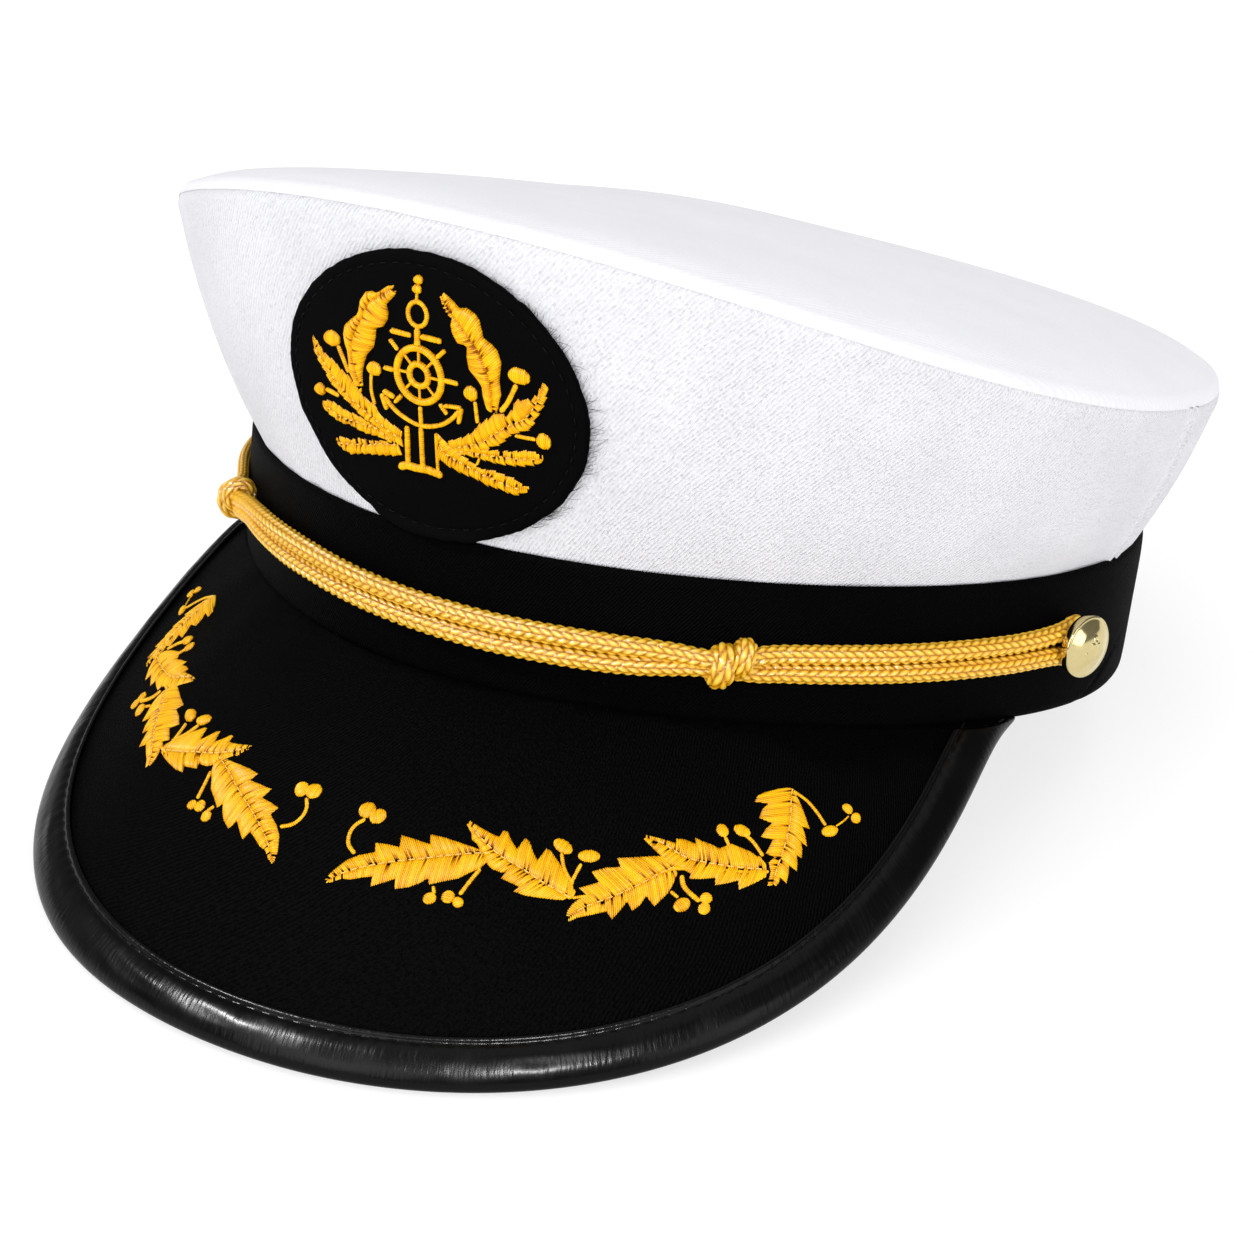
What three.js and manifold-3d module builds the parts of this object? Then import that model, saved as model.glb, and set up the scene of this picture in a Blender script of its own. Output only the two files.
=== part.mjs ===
// Captain hat: a flared cloth crown over a black band, a stiff peak with a bound edge, a double cord
// held by two buttons, an oval badge and raised embroidery. Millimetres and degrees.
// The hat is laid out upright on the foot of its band, front to -Y and the wearer's left to +X. At the
// end it is tipped back until it stands on the rim of the peak and on the back of the band.
import * as THREE from 'three';
import { mergeVertices } from 'three/addons/utils/BufferGeometryUtils.js';
import Module from 'manifold-3d';

const wasm = await Module();
wasm.setup();
const { degToRad: radians, lerp } = THREE.MathUtils;

// Clearance between pieces that touch
const seat = 0.3;

// Band: how far its foot and its top lie from the head's axis, in front, behind and at each side
const footFront = 97.6;
const footBack = 98;
const footSide = 92.4;
const browFront = 101.1;
const browBack = 95.5;
const browSide = 91.4;
const bandHeight = 26.9;
const bandWall = 2.5;
const bandLip = 0.8;

// Crown: the seam between its side and its top, the height of the side, the rise of the top
const seamFront = 113.6;
const seamBack = 97.6;
const seamSide = 101.7;
const crownFront = 56.5;
const crownSide = 32.2;
const crownBack = 27.1;
const clothWall = 2;
const domeRise = 11;
const shoulderRise = 3.5;
const sideSeamFoot = 90;
const sideSeamTop = 94;

// Peak: where its rim meets the band, its reach ahead of there, its drop and its board
const peakTurn = 72.5;
const peakReach = 120;
const peakDrop = 55.4;
const boardWall = 2;
const boardBulge = 2.5;
const boardTuck = 14;
const tuckRise = 38;
const bindingWidth = 8;
const bindingSkin = 0.9;

// Cord, knots and buttons: turns are measured round the band from the front
const cordDiameter = 4;
const cordHeightFront = 12.4;
const cordHeightSide = 14.1;
const strandGap = 0.3;
const knotTurnLeft = 38;
const knotTurnRight = -48;
const knotLength = 9.5;
const knotHeight = 11;
const knotSkin = 1.1;
const buttonTurn = 79.5;
const buttonDiameter = 12.8;
const buttonDome = 2.4;
const buttonEdge = 0.8;
const shankDiameter = 1.8;

// Badge: an oval patch on the front of the crown, measured up the cloth from the band
const badgeWidth = 62.8;
const badgeHeight = 52.8;
const badgeFoot = 0.6;
const patchWall = 1.6;
const emblemReach = 25;
const emblemWall = 1.1;

// Sprays of leaves on the peak
const sprayLength = 100;
const sprayWall = 1.2;
const threadLift = 0.4;

// How finely the long pieces are divided
const ringSteps = 48;
const rimSteps = 32;
const strandSteps = 26;
const cordSides = 8;
const knotSides = 12;
const buttonSides = 14;
const patchSides = 28;

const cordRadius = cordDiameter / 2;
const up = new THREE.Vector3(0, 0, 1);
const outward = (turn) => new THREE.Vector3(Math.sin(turn), -Math.cos(turn), 0);

// Rings of the outer skin. square flattens (plus) or points (minus) the diagonals and slide moves the
// widest place towards the front, both as shares of the side's reach.
const foot = { front: footFront, back: footBack, side: footSide, square: -0.044, slide: 0.028 };
const brow = { front: browFront, back: browBack, side: browSide, square: -0.025, slide: -0.02 };
const topSeam = { front: seamFront, back: seamBack, side: seamSide, square: 0.03, slide: 0 };

// Shares of the rim's half width, reach and drop that each wave of its curve carries
const rimWaves = [
  { order: 1, across: 1.208, ahead: 0.787, down: 0.863 },
  { order: 3, across: 0.236, ahead: 0.197, down: 0.179 },
  { order: 5, across: 0.028, ahead: 0.016, down: -0.042 },
];

// Belly of the crown's side and front kick of its seam, as shares of the side's height and slope
const bellyShare = 0.045;
const kickShare = 0.1;
const shoulderPower = 26;

function material(color, roughness, metalness = 0) {
  return new THREE.MeshStandardMaterial({ color, roughness, metalness });
}
const whiteCloth = material(0xf2f2f4, 0.85);
const blackCloth = material(0x0c0c0e, 0.8);
const glossBinding = material(0x070708, 0.25);
const goldCord = material(0xd9a02b, 0.45, 0.2);
const goldThread = material(0xf0ab1e, 0.5);
const paleBrass = material(0xdcc98a, 0.22, 1);

// Closed solid through a row of outlines that all have the same even number of points
function loft(outlines, joined = false) {
  const count = outlines[0].length;
  const index = [];
  const quad = (a, b, c, d) => index.push(a, b, c, a, c, d);
  const rows = joined ? outlines.length : outlines.length - 1;
  for (let row = 0; row < rows; row += 1) {
    const here = row * count;
    const next = ((row + 1) % outlines.length) * count;
    for (let i = 0; i < count; i += 1) {
      const after = (i + 1) % count;
      quad(here + i, here + after, next + after, next + i);
    }
  }
  const last = (outlines.length - 1) * count;
  for (let i = 0; i < count / 2 - 1 && !joined; i += 1) {
    const far = count - 1 - i;
    quad(far, far - 1, i + 1, i);
    quad(last + i, last + i + 1, last + far - 1, last + far);
  }
  const geometry = new THREE.BufferGeometry().setFromPoints(outlines.flat());
  geometry.setIndex(facingOut(outlines.flat(), index));
  return geometry;
}

// The same faces, all turned round if together they enclose a negative volume
function facingOut(points, index) {
  let volume = 0;
  for (let i = 0; i < index.length; i += 3) {
    const [a, b, c] = [points[index[i]], points[index[i + 1]], points[index[i + 2]]];
    volume += a.dot(b.clone().cross(c));
  }
  return volume < 0 ? index.toReversed() : index;
}

function solidOf(geometry) {
  const bare = geometry.clone();
  bare.deleteAttribute('normal');
  bare.deleteAttribute('uv');
  const merged = mergeVertices(bare, 1e-4);
  const vertProperties = new Float32Array(merged.attributes.position.array);
  const triVerts = new Uint32Array(merged.index.array);
  return new wasm.Manifold(new wasm.Mesh({ numProp: 3, vertProperties, triVerts }));
}

function geometryOf(solid) {
  const { vertProperties, triVerts } = solid.getMesh();
  const geometry = new THREE.BufferGeometry();
  geometry.setAttribute('position', new THREE.BufferAttribute(vertProperties, 3));
  geometry.setIndex(new THREE.BufferAttribute(triVerts, 1));
  return geometry;
}

const joinAll = (geometries) => geometryOf(geometries.map(solidOf).reduce((all, one) => all.add(one)));

// A ring's point at a turn, at a height and set in from the skin
function ringPoint(ring, turn, height, inset = 0) {
  const across = (1 + ring.square) * Math.sin(turn) + ring.square * Math.sin(3 * turn);
  const middle = (ring.back - ring.front) / 2;
  const along = ((ring.back + ring.front) / 2) * Math.cos(turn);
  const slide = (ring.slide * ring.side * (1 - Math.cos(2 * turn))) / 2;
  const point = new THREE.Vector3(ring.side * across, middle - along - slide, height);
  return point.addScaledVector(outward(turn), -inset);
}

function bandPoint(turn, height, inset = 0) {
  const share = height / bandHeight;
  const low = ringPoint(foot, turn, height, inset);
  return low.lerp(ringPoint(brow, turn, height, inset), share);
}

// Height of the crown's side, high in front, lowest at the back
function sideHeight(turn) {
  const ends = (crownFront + crownBack) / 2;
  const slope = (crownFront - crownBack) / 2;
  const wave = (1 - kickShare) * Math.cos(turn) + kickShare * Math.cos(3 * turn);
  return (ends + crownSide) / 2 + slope * wave + ((ends - crownSide) / 2) * Math.cos(2 * turn);
}

// The crown's outer skin, from the band (share 0) to the top seam (share 1)
function crownPoint(turn, share) {
  const height = sideHeight(turn);
  const base = bandHeight + seat;
  const point = ringPoint(brow, turn, base, bandLip);
  point.lerp(ringPoint(topSeam, turn, base + height), share);
  return point.addScaledVector(outward(turn), bellyShare * height * 4 * share * (1 - share));
}

// Unit normal of a surface of two parameters, turned to the side that guide points to
function normalAt(surface, a, b, guide) {
  const step = 1e-3;
  const across = surface(a + step, b).sub(surface(a - step, b));
  const along = surface(a, b + step).sub(surface(a, b - step));
  const normal = across.cross(along).normalize();
  return normal.dot(guide) < 0 ? normal.negate() : normal;
}

const crownInside = (turn, share) =>
  crownPoint(turn, share).addScaledVector(normalAt(crownPoint, turn, share, outward(turn)), -clothWall);

const ringTurns = Array.from({ length: ringSteps }, (_, i) => (i * 2 * Math.PI) / ringSteps);

function bandGeometry() {
  const outlines = ringTurns.map((turn) => [
    bandPoint(turn, 0),
    bandPoint(turn, bandHeight),
    bandPoint(turn, bandHeight, bandWall),
    bandPoint(turn, 0, bandWall),
  ]);
  return loft(outlines, true);
}

// One panel of the crown's side between two slanting seams, from first to last, given as signs of the seam
function sidePanel(first, last, turns) {
  const shares = [0, 0.2, 0.4, 0.6, 0.8, 1];
  const clearance = seat / 2 / footSide;
  const seamAt = (share) => radians(lerp(sideSeamFoot, sideSeamTop, share));
  const stations = [(share) => first(seamAt(share)) + clearance];
  turns.forEach((turn) => stations.push(() => turn));
  stations.push((share) => last(seamAt(share)) - clearance);
  const outlines = stations.map((turnAt) => [
    ...shares.map((share) => crownPoint(turnAt(share), share)),
    ...shares.toReversed().map((share) => crownInside(turnAt(share), share)),
  ]);
  return loft(outlines);
}

function turnsBetween(low, high) {
  const step = (2 * Math.PI) / ringSteps;
  const turns = [];
  for (let turn = Math.ceil(low / step + 0.4) * step; turn < high - 0.4 * step; turn += step) turns.push(turn);
  return turns;
}

function crownFrontGeometry() {
  const inner = turnsBetween(-radians(sideSeamFoot), radians(sideSeamFoot));
  return sidePanel((seam) => -seam, (seam) => seam, inner);
}

function crownBackGeometry() {
  const inner = turnsBetween(radians(sideSeamTop), 2 * Math.PI - radians(sideSeamTop));
  return sidePanel((seam) => seam, (seam) => 2 * Math.PI - seam, inner);
}

// The top panel: reach 1 is the seam and 0 the middle. The seam's waves fade inwards under a shallow
// dome with a rounded shoulder at its edge.
function topPoint(turn, reach) {
  const ends = (crownFront + crownBack) / 2;
  const slope = (crownFront - crownBack) / 2;
  const edge = ringPoint(topSeam, turn, 0);
  const middle = new THREE.Vector3(0, (seamBack - seamFront) / 2, 0);
  const point = middle.lerp(edge, reach);
  const waves = (1 - kickShare) * reach * Math.cos(turn) + kickShare * reach ** 3 * Math.cos(3 * turn);
  const saddle = ((ends - crownSide) / 2) * reach ** 2 * Math.cos(2 * turn);
  const dome = domeRise * (1 - reach ** 2) + shoulderRise * (1 - reach ** shoulderPower);
  point.z = bandHeight + seat + (ends + crownSide) / 2 + slope * waves + saddle + dome + seat;
  return point;
}

function crownTopGeometry() {
  const lift = up.clone().multiplyScalar(seat);
  const outer = [1, 0.985, 0.955, 0.88, 0.65, 0.35, 0.1];
  const inner = [0.1, 0.5, 0.82, 0.95];
  const outlines = [
    ...outer.toReversed().map((reach) => ringTurns.map((turn) => topPoint(turn, reach))),
    ringTurns.map((turn) => crownInside(turn, 1).add(lift)),
    ...inner.toReversed().map((reach) =>
      ringTurns.map((turn) => topPoint(turn, reach).addScaledVector(up, -clothWall))),
  ];
  return loft(outlines);
}

// The peak's rim, from -90 at one end through 0 at the front
function rimPoint(sweep) {
  const end = ringPoint(foot, radians(peakTurn), 0);
  const point = new THREE.Vector3(0, end.y, 0);
  rimWaves.forEach(({ order, across, ahead, down }) => {
    point.x += end.x * across * Math.sin(order * sweep);
    point.y -= peakReach * ahead * Math.cos(order * sweep);
    point.z -= peakDrop * down * Math.cos(order * sweep);
  });
  return point;
}

// The ruling from the rim, at a sweep, to a line inside the foot of the band
function ruling(sweep) {
  const turn = (sweep * radians(peakTurn)) / (Math.PI / 2);
  const rim = rimPoint(sweep);
  const hem = ringPoint(foot, turn, 0);
  const rise = radians(tuckRise);
  const inner = hem.clone().addScaledVector(outward(turn), -boardTuck * Math.cos(rise));
  inner.z += boardTuck * Math.sin(rise);
  const crest = outward(turn).multiplyScalar(Math.SQRT1_2).addScaledVector(up, Math.SQRT1_2);
  return { rim, inner, crest, visible: rim.distanceTo(hem) };
}

// The board's upper face, a distance inwards from the rim
function boardPoint(sweep, distance) {
  const { rim, inner, crest } = ruling(sweep);
  const length = rim.distanceTo(inner);
  const share = distance / length;
  const bulge = (boardBulge * length * 4 * share * (1 - share)) / (peakReach - footFront + peakDrop);
  return rim.lerp(inner, share).addScaledVector(crest, bulge);
}

const onBoard = (sweep, distance, height) =>
  boardPoint(sweep, distance).addScaledVector(normalAt(boardPoint, sweep, distance, up), height);

const endSweep = radians(94);
const sweeps = Array.from({ length: rimSteps + 1 }, (_, i) => lerp(-endSweep, endSweep, i / rimSteps));

// What lies above the foot of the band is cut away
function cutAtBand(geometry) {
  const tall = 4 * (peakDrop + boardTuck);
  const block = new THREE.BoxGeometry(4 * footSide, 4 * peakReach, tall);
  block.translate(0, 0, tall / 2 - seat);
  return geometryOf(solidOf(geometry).subtract(solidOf(block)));
}

const rollRadius = boardWall / 2 + seat + bindingSkin;
const boardEdge = bindingSkin + 2 * seat;

function peakGeometry() {
  const outlines = sweeps.map((sweep) => {
    const { rim, inner } = ruling(sweep);
    const stations = [0, 0.33, 0.66, 1].map((share) => lerp(boardEdge, rim.distanceTo(inner), share));
    return [
      ...stations.map((distance) => onBoard(sweep, distance, 0)),
      ...stations.toReversed().map((distance) => onBoard(sweep, distance, -boardWall)),
    ];
  });
  return cutAtBand(loft(outlines));
}

// The binding folds round the rim: a flap above, a round roll and a flap below
function bindingGeometry() {
  const face = seat + bindingSkin;
  const middle = -boardWall / 2;
  const slot = boardEdge - seat;
  const roll = [90, 135, 180, 225, 270].map((angle) => [
    rollRadius + rollRadius * Math.cos(radians(angle)),
    middle + rollRadius * Math.sin(radians(angle)),
  ]);
  const profile = [
    [bindingWidth, face],
    ...roll,
    [bindingWidth, -boardWall - face],
    [bindingWidth, -boardWall - seat],
    [slot, -boardWall - seat],
    [slot, middle],
    [slot, seat],
    [bindingWidth, seat],
  ];
  const outlines = sweeps.map((sweep) => profile.map(([distance, height]) => onBoard(sweep, distance, height)));
  return cutAtBand(loft(outlines));
}

const cordHeight = (turn) => lerp(cordHeightFront, cordHeightSide, Math.sin(turn) ** 2);
const loopRadius = shankDiameter / 2 + seat + cordRadius;
const knotLift = knotSkin + seat;

// The cord rises over the inner skin of each knot
function knotRise(turn) {
  const reach = (1.5 * knotLength) / footFront;
  return [knotTurnLeft, knotTurnRight].reduce(
    (rise, knot) => rise + knotLift * Math.exp(-(((turn - radians(knot)) / reach) ** 4)),
    0,
  );
}

// Middle of a strand: side is 1 for the upper strand and -1 for the lower, which part round the shanks
function strandPoint(turn, side) {
  const together = cordRadius + strandGap / 2;
  const spread = lerp(together, loopRadius, (turn / radians(buttonTurn)) ** 6);
  const point = bandPoint(turn, cordHeight(turn) + side * spread);
  return point.addScaledVector(outward(turn), seat + cordRadius + knotRise(turn));
}

// Bend of the cord round a button's shank, between the two strands
function bendPoint(end, angle) {
  const turn = end * radians(buttonTurn);
  const reach = bandPoint(turn, cordHeight(turn)).length();
  const past = turn + (end * loopRadius * Math.sin(angle)) / reach;
  const point = bandPoint(past, cordHeight(turn) + end * loopRadius * Math.cos(angle));
  return point.addScaledVector(outward(past), seat + cordRadius);
}

// A round cord of a radius along points, with its section square to the way it runs
function tube(points, radius, joined) {
  const at = (i) => points[joined ? (i + points.length) % points.length : THREE.MathUtils.clamp(i, 0, points.length - 1)];
  const outlines = points.map((point, i) => {
    const way = at(i + 1).clone().sub(at(i - 1)).normalize();
    const side = way.clone().cross(new THREE.Vector3(point.x, point.y, 0)).normalize();
    const out = side.clone().cross(way);
    return Array.from({ length: cordSides }, (_, k) => {
      const angle = ((k + 0.5) * 2 * Math.PI) / cordSides;
      return point.clone().addScaledVector(out, radius * Math.cos(angle)).addScaledVector(side, radius * Math.sin(angle));
    });
  });
  return loft(outlines, joined);
}

function cordGeometry() {
  const strand = Array.from({ length: strandSteps + 1 }, (_, i) => radians(lerp(-buttonTurn, buttonTurn, i / strandSteps)));
  const bend = [36, 72, 108, 144].map(radians);
  const points = [
    ...strand.map((turn) => strandPoint(turn, 1)),
    ...bend.map((angle) => bendPoint(1, angle)),
    ...strand.toReversed().map((turn) => strandPoint(turn, -1)),
    ...bend.map((angle) => bendPoint(-1, angle)),
  ];
  return tube(points, cordRadius, true);
}

// A slip knot: a barrel round both strands, with a channel for each
function knotGeometry(knotTurn) {
  const turn = radians(knotTurn);
  const centre = strandPoint(turn, 1).add(strandPoint(turn, -1)).multiplyScalar(0.5);
  const along = up.clone().cross(outward(turn));
  const depth = cordRadius + seat + knotSkin;
  const barrel = [
    { place: -0.5, girth: 0.86 },
    { place: -0.25, girth: 0.97 },
    { place: 0, girth: 1 },
    { place: 0.25, girth: 0.97 },
    { place: 0.5, girth: 0.86 },
  ];
  const outlines = barrel.map(({ place, girth }) =>
    Array.from({ length: knotSides }, (_, k) => {
      const angle = (k * 2 * Math.PI) / knotSides;
      return centre.clone()
        .addScaledVector(along, place * knotLength)
        .addScaledVector(outward(turn), girth * depth * Math.cos(angle))
        .addScaledVector(up, (girth * knotHeight * Math.sin(angle)) / 2);
    }));
  let knot = solidOf(loft(outlines));
  const reach = knotLength / footFront;
  for (const side of [1, -1]) {
    const points = [-1, -0.5, 0, 0.5, 1].map((share) => strandPoint(turn + share * reach, side));
    knot = knot.subtract(solidOf(tube(points, cordRadius + seat, false)));
  }
  return geometryOf(knot);
}

// A domed button on a shank, turned on its own axis, which points to +Y
function buttonGeometry() {
  const radius = buttonDiameter / 2;
  const back = cordDiameter + 2 * seat;
  const rim = back + buttonEdge;
  const profile = [
    [0, 0],
    [shankDiameter / 2, 0],
    [shankDiameter / 2, back],
    [0.94 * radius, back],
    [radius, back + buttonEdge / 2],
    [0.96 * radius, rim],
    [0.84 * radius, rim],
    [0.66 * radius, rim + 0.5 * buttonDome],
    [0.36 * radius, rim + 0.88 * buttonDome],
    [0, rim + buttonDome],
  ];
  return new THREE.LatheGeometry(profile.map(([x, y]) => new THREE.Vector2(x, y)), buttonSides);
}

// A point on the front of the crown, across from its middle line and up from the middle of the badge
function badgePoint(across, rise) {
  const slant = crownPoint(0, 1).distanceTo(crownPoint(0, 0));
  const share = (badgeFoot + badgeHeight / 2 + rise) / slant;
  const step = 1e-3;
  const bend = crownPoint(step, share).distanceTo(crownPoint(-step, share)) / (2 * step);
  return crownPoint(across / bend, share);
}

const forward = new THREE.Vector3(0, -1, 0);
const onCrown = (across, rise, height) =>
  badgePoint(across, rise).addScaledVector(normalAt(badgePoint, across, rise, forward), height);

function patchGeometry() {
  const ring = (share, height) => Array.from({ length: patchSides }, (_, k) => {
    const angle = (k * 2 * Math.PI) / patchSides;
    const across = (share * badgeWidth * Math.cos(angle)) / 2;
    return onCrown(across, (share * badgeHeight * Math.sin(angle)) / 2, threadLift + height);
  });
  const levels = [[0.2, 0], [0.62, 0], [1, 0], [1, patchWall], [0.62, patchWall], [0.2, patchWall]];
  return loft(levels.map(([share, height]) => ring(share, height)));
}

// Where a ribbon starts and ends above its surface, as shares of the thread's thickness: ribbons that
// cross have different tiers, so that their faces don't run through each other
const tiers = {
  full: [0, 1],
  under: [0.12, 0.86],
  stem: [0.24, 0.7],
  dot: [0.06, 0.94],
};

// A flat raised ribbon through rows of place and half width, laid on a surface by place(u, v, height)
function ribbon(place, rows, wall, tier = tiers.full, joined = false) {
  const [low, high] = tier.map((share) => share * wall);
  const at = (i) => rows[joined ? (i + rows.length) % rows.length : THREE.MathUtils.clamp(i, 0, rows.length - 1)];
  const outlines = rows.map(([u, v, half], i) => {
    const way = new THREE.Vector2(at(i + 1)[0] - at(i - 1)[0], at(i + 1)[1] - at(i - 1)[1]).normalize();
    const side = new THREE.Vector2(-way.y, way.x).multiplyScalar(half);
    return [
      place(u + side.x, v + side.y, low),
      place(u + side.x, v + side.y, high),
      place(u - side.x, v - side.y, high),
      place(u - side.x, v - side.y, low),
    ];
  });
  return loft(outlines, joined);
}

// Half width of a serrated leaf along its length, as shares
const leafProfile = [
  { along: 0, half: 0.12 },
  { along: 0.14, half: 0.65 },
  { along: 0.36, half: 1 },
  { along: 0.4, half: 0.74 },
  { along: 0.64, half: 0.92 },
  { along: 0.68, half: 0.6 },
  { along: 1, half: 0.06 },
];

function leafRows(base, tip, half, bow = 0) {
  return leafProfile.map((row) => {
    const arch = bow * 4 * row.along * (1 - row.along);
    const u = lerp(base[0], tip[0], row.along) - arch * (tip[1] - base[1]);
    const v = lerp(base[1], tip[1], row.along) + arch * (tip[0] - base[0]);
    return [u, v, half * row.half];
  });
}

// A six-sided berry or knob
const berryRows = (centre, radius) => [-1, 0, 1].map((share) =>
  [centre[0] + share * radius, centre[1], radius * (1 - share * share / 2)]);

// Circle of thread round a centre
function circleRows(centre, radius, half, count) {
  return Array.from({ length: count }, (_, k) => {
    const angle = (k * 2 * Math.PI) / count;
    return [centre[0] + radius * Math.cos(angle), centre[1] + radius * Math.sin(angle), half];
  });
}

// A spray's leaves, berries and stems, as shares of its length: u runs from the middle of the peak
// outwards and v from the middle of the peak's depth towards the band.
const sprayLeaves = [
  { base: [0.33, 0.045], tip: [0.05, -0.065], half: 0.055, bow: 0.05 },
  { base: [0.5, -0.06], tip: [0.275, 0.108], half: 0.052, bow: -0.04 },
  { base: [0.695, 0], tip: [0.465, -0.078], half: 0.055, bow: 0.05 },
  { base: [0.82, -0.06], tip: [0.62, 0.056], half: 0.052, bow: -0.04 },
  { base: [0.815, -0.085], tip: [0.915, 0.055], half: 0.045, bow: 0.06 },
];
const sprayStems = [
  { from: [0.11, -0.03], way: [0.074, 0.03], to: [0.08, 0.09], berry: 0.021 },
  { from: [0.3, 0.02], way: [0.285, -0.02], to: [0.262, -0.045], berry: 0.015 },
  { from: [0.3, 0.02], way: [0.262, -0.015], to: [0.228, -0.045], berry: 0.014 },
  { from: [0.465, -0.025], way: [0.465, 0.03], to: [0.446, 0.06], berry: 0.017 },
  { from: [0.53, -0.03], way: [0.515, 0.01], to: [0.495, 0.045], berry: 0.015 },
  { from: [0.66, -0.02], way: [0.65, -0.055], to: [0.638, -0.078], berry: 0.016 },
  { from: [0.66, -0.02], way: [0.675, -0.055], to: [0.677, -0.082], berry: 0.015 },
  { from: [0.79, -0.04], way: [0.765, -0.005], to: [0.747, 0.034], berry: 0.017 },
  { from: [0.79, -0.04], way: [0.79, -0.005], to: [0.785, 0.028], berry: 0.015 },
  { from: [0.9, 0.035], way: [0.93, 0.01], to: [0.945, -0.04], berry: 0.016 },
];
const sprayStemHalf = 0.006;

// Middle line of the peak's depth, as a table of length against sweep
const midLine = (() => {
  const count = 120;
  const rows = [];
  let length = 0;
  let before = null;
  for (let i = 0; i <= count; i += 1) {
    const sweep = (endSweep * i) / count;
    const here = boardPoint(sweep, ruling(sweep).visible / 2);
    length += before ? here.distanceTo(before) : 0;
    rows.push({ sweep, length });
    before = here;
  }
  return rows;
})();

function sweepAt(length) {
  const far = Math.abs(length);
  const i = Math.max(1, midLine.findIndex((row) => row.length >= far));
  const [a, b] = [midLine[i - 1], midLine[i]];
  return Math.sign(length) * lerp(a.sweep, b.sweep, (far - a.length) / (b.length - a.length));
}

function onPeak(u, v, height) {
  const sweep = sweepAt(u);
  return onBoard(sweep, ruling(sweep).visible / 2 + v, threadLift + height);
}

function sprayGeometry(side) {
  const place = (u, v, height) => onPeak(side * u, v, height);
  const scaled = (pair) => pair.map((share) => share * sprayLength);
  const solids = sprayLeaves.map(({ base, tip, half, bow }, i) => {
    const rows = leafRows(scaled(base), scaled(tip), half * sprayLength, bow);
    return ribbon(place, rows, sprayWall, i % 2 ? tiers.under : tiers.full);
  });
  sprayStems.forEach(({ from, way, to, berry }) => {
    const half = sprayStemHalf * sprayLength;
    const rows = [from, way, to].map((pair) => [...scaled(pair), half]);
    solids.push(ribbon(place, rows, sprayWall, tiers.stem));
    solids.push(ribbon(place, berryRows(scaled(to), berry * sprayLength), sprayWall, tiers.dot));
  });
  return joinAll(solids);
}

// The emblem, as shares of its reach from the middle of the badge: an anchor with a ship's wheel
const wheelCentre = [0, 0.108];
const anchorBars = [
  { half: 0.03, tier: 'under', points: [[0, 0.48], [0, 0.2], [0, -0.1], [0, -0.35], [0, -0.61]] },
  { half: 0.03, tier: 'full', points: [[-0.24, 0.385], [0, 0.4], [0.2, 0.4]] },
  { half: 0.026, tier: 'stem', points: [[0, 0.63], [0, 0.8]] },
  { half: 0.022, tier: 'stem', points: [[-0.14, -0.28], [-0.14, -0.62]] },
  { half: 0.022, tier: 'stem', points: [[0.12, -0.28], [0.12, -0.62]] },
  { half: 0.028, tier: 'full', points: [[-0.22, -0.635], [0, -0.63], [0.17, -0.62]] },
  { half: 0.034, tier: 'full', points: [[-0.3, -0.08], [-0.23, -0.21], [0, -0.3], [0.23, -0.21], [0.31, -0.06]] },
  { half: 0.024, tier: 'under', points: [[-0.36, -0.13], [-0.3, -0.07], [-0.23, -0.13]] },
  { half: 0.024, tier: 'under', points: [[0.23, -0.12], [0.31, -0.05], [0.37, -0.12]] },
];
const anchorCircles = [
  { centre: [0, 0.556], radius: 0.075, half: 0.022, count: 10 },
  { centre: wheelCentre, radius: 0.185, half: 0.026, count: 16 },
  { centre: wheelCentre, radius: 0.075, half: 0.024, count: 10 },
];
const anchorKnobs = [
  { centre: [0, 0.735], radius: 0.036 },
  { centre: [0, 0.8], radius: 0.034 },
  { centre: [-0.24, 0.385], radius: 0.042 },
  { centre: [0.2, 0.4], radius: 0.042 },
];
const spokes = { count: 8, from: 0.06, to: 0.295, half: 0.016 };

const emblemLift = threadLift + patchWall + seat;
const scaleEmblem = (numbers) => numbers.map((share) => share * emblemReach);
const emblemPlace = (side) => (u, v, height) => onCrown(side * u, v, emblemLift + height);

// grow widens every bar, which leaves the clearance for the wreath beside it
function anchorSolids(grow, wall) {
  const place = emblemPlace(1);
  const bars = anchorBars.map(({ half, tier, points }) => {
    const rows = points.map((pair) => [...scaleEmblem(pair), half * emblemReach + grow]);
    return ribbon(place, rows, wall, tiers[tier]);
  });
  const circles = anchorCircles.map(({ centre, radius, half, count }) => {
    const rows = circleRows(scaleEmblem(centre), radius * emblemReach, half * emblemReach + grow, count);
    return ribbon(place, rows, wall, tiers.full, true);
  });
  const knobs = anchorKnobs.map(({ centre, radius }) =>
    ribbon(place, berryRows(scaleEmblem(centre), radius * emblemReach + grow), wall, tiers.dot));
  const arms = Array.from({ length: spokes.count }, (_, k) => {
    const angle = (k * 2 * Math.PI) / spokes.count;
    const rows = [spokes.from, spokes.to].map((reach) => {
      const u = wheelCentre[0] + reach * Math.cos(angle);
      const v = wheelCentre[1] + reach * Math.sin(angle);
      return [...scaleEmblem([u, v]), spokes.half * emblemReach + grow];
    });
    return ribbon(place, rows, wall, tiers.stem);
  });
  return [...bars, ...circles, ...knobs, ...arms];
}

const anchorGeometry = () => joinAll(anchorSolids(0, emblemWall));

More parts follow.
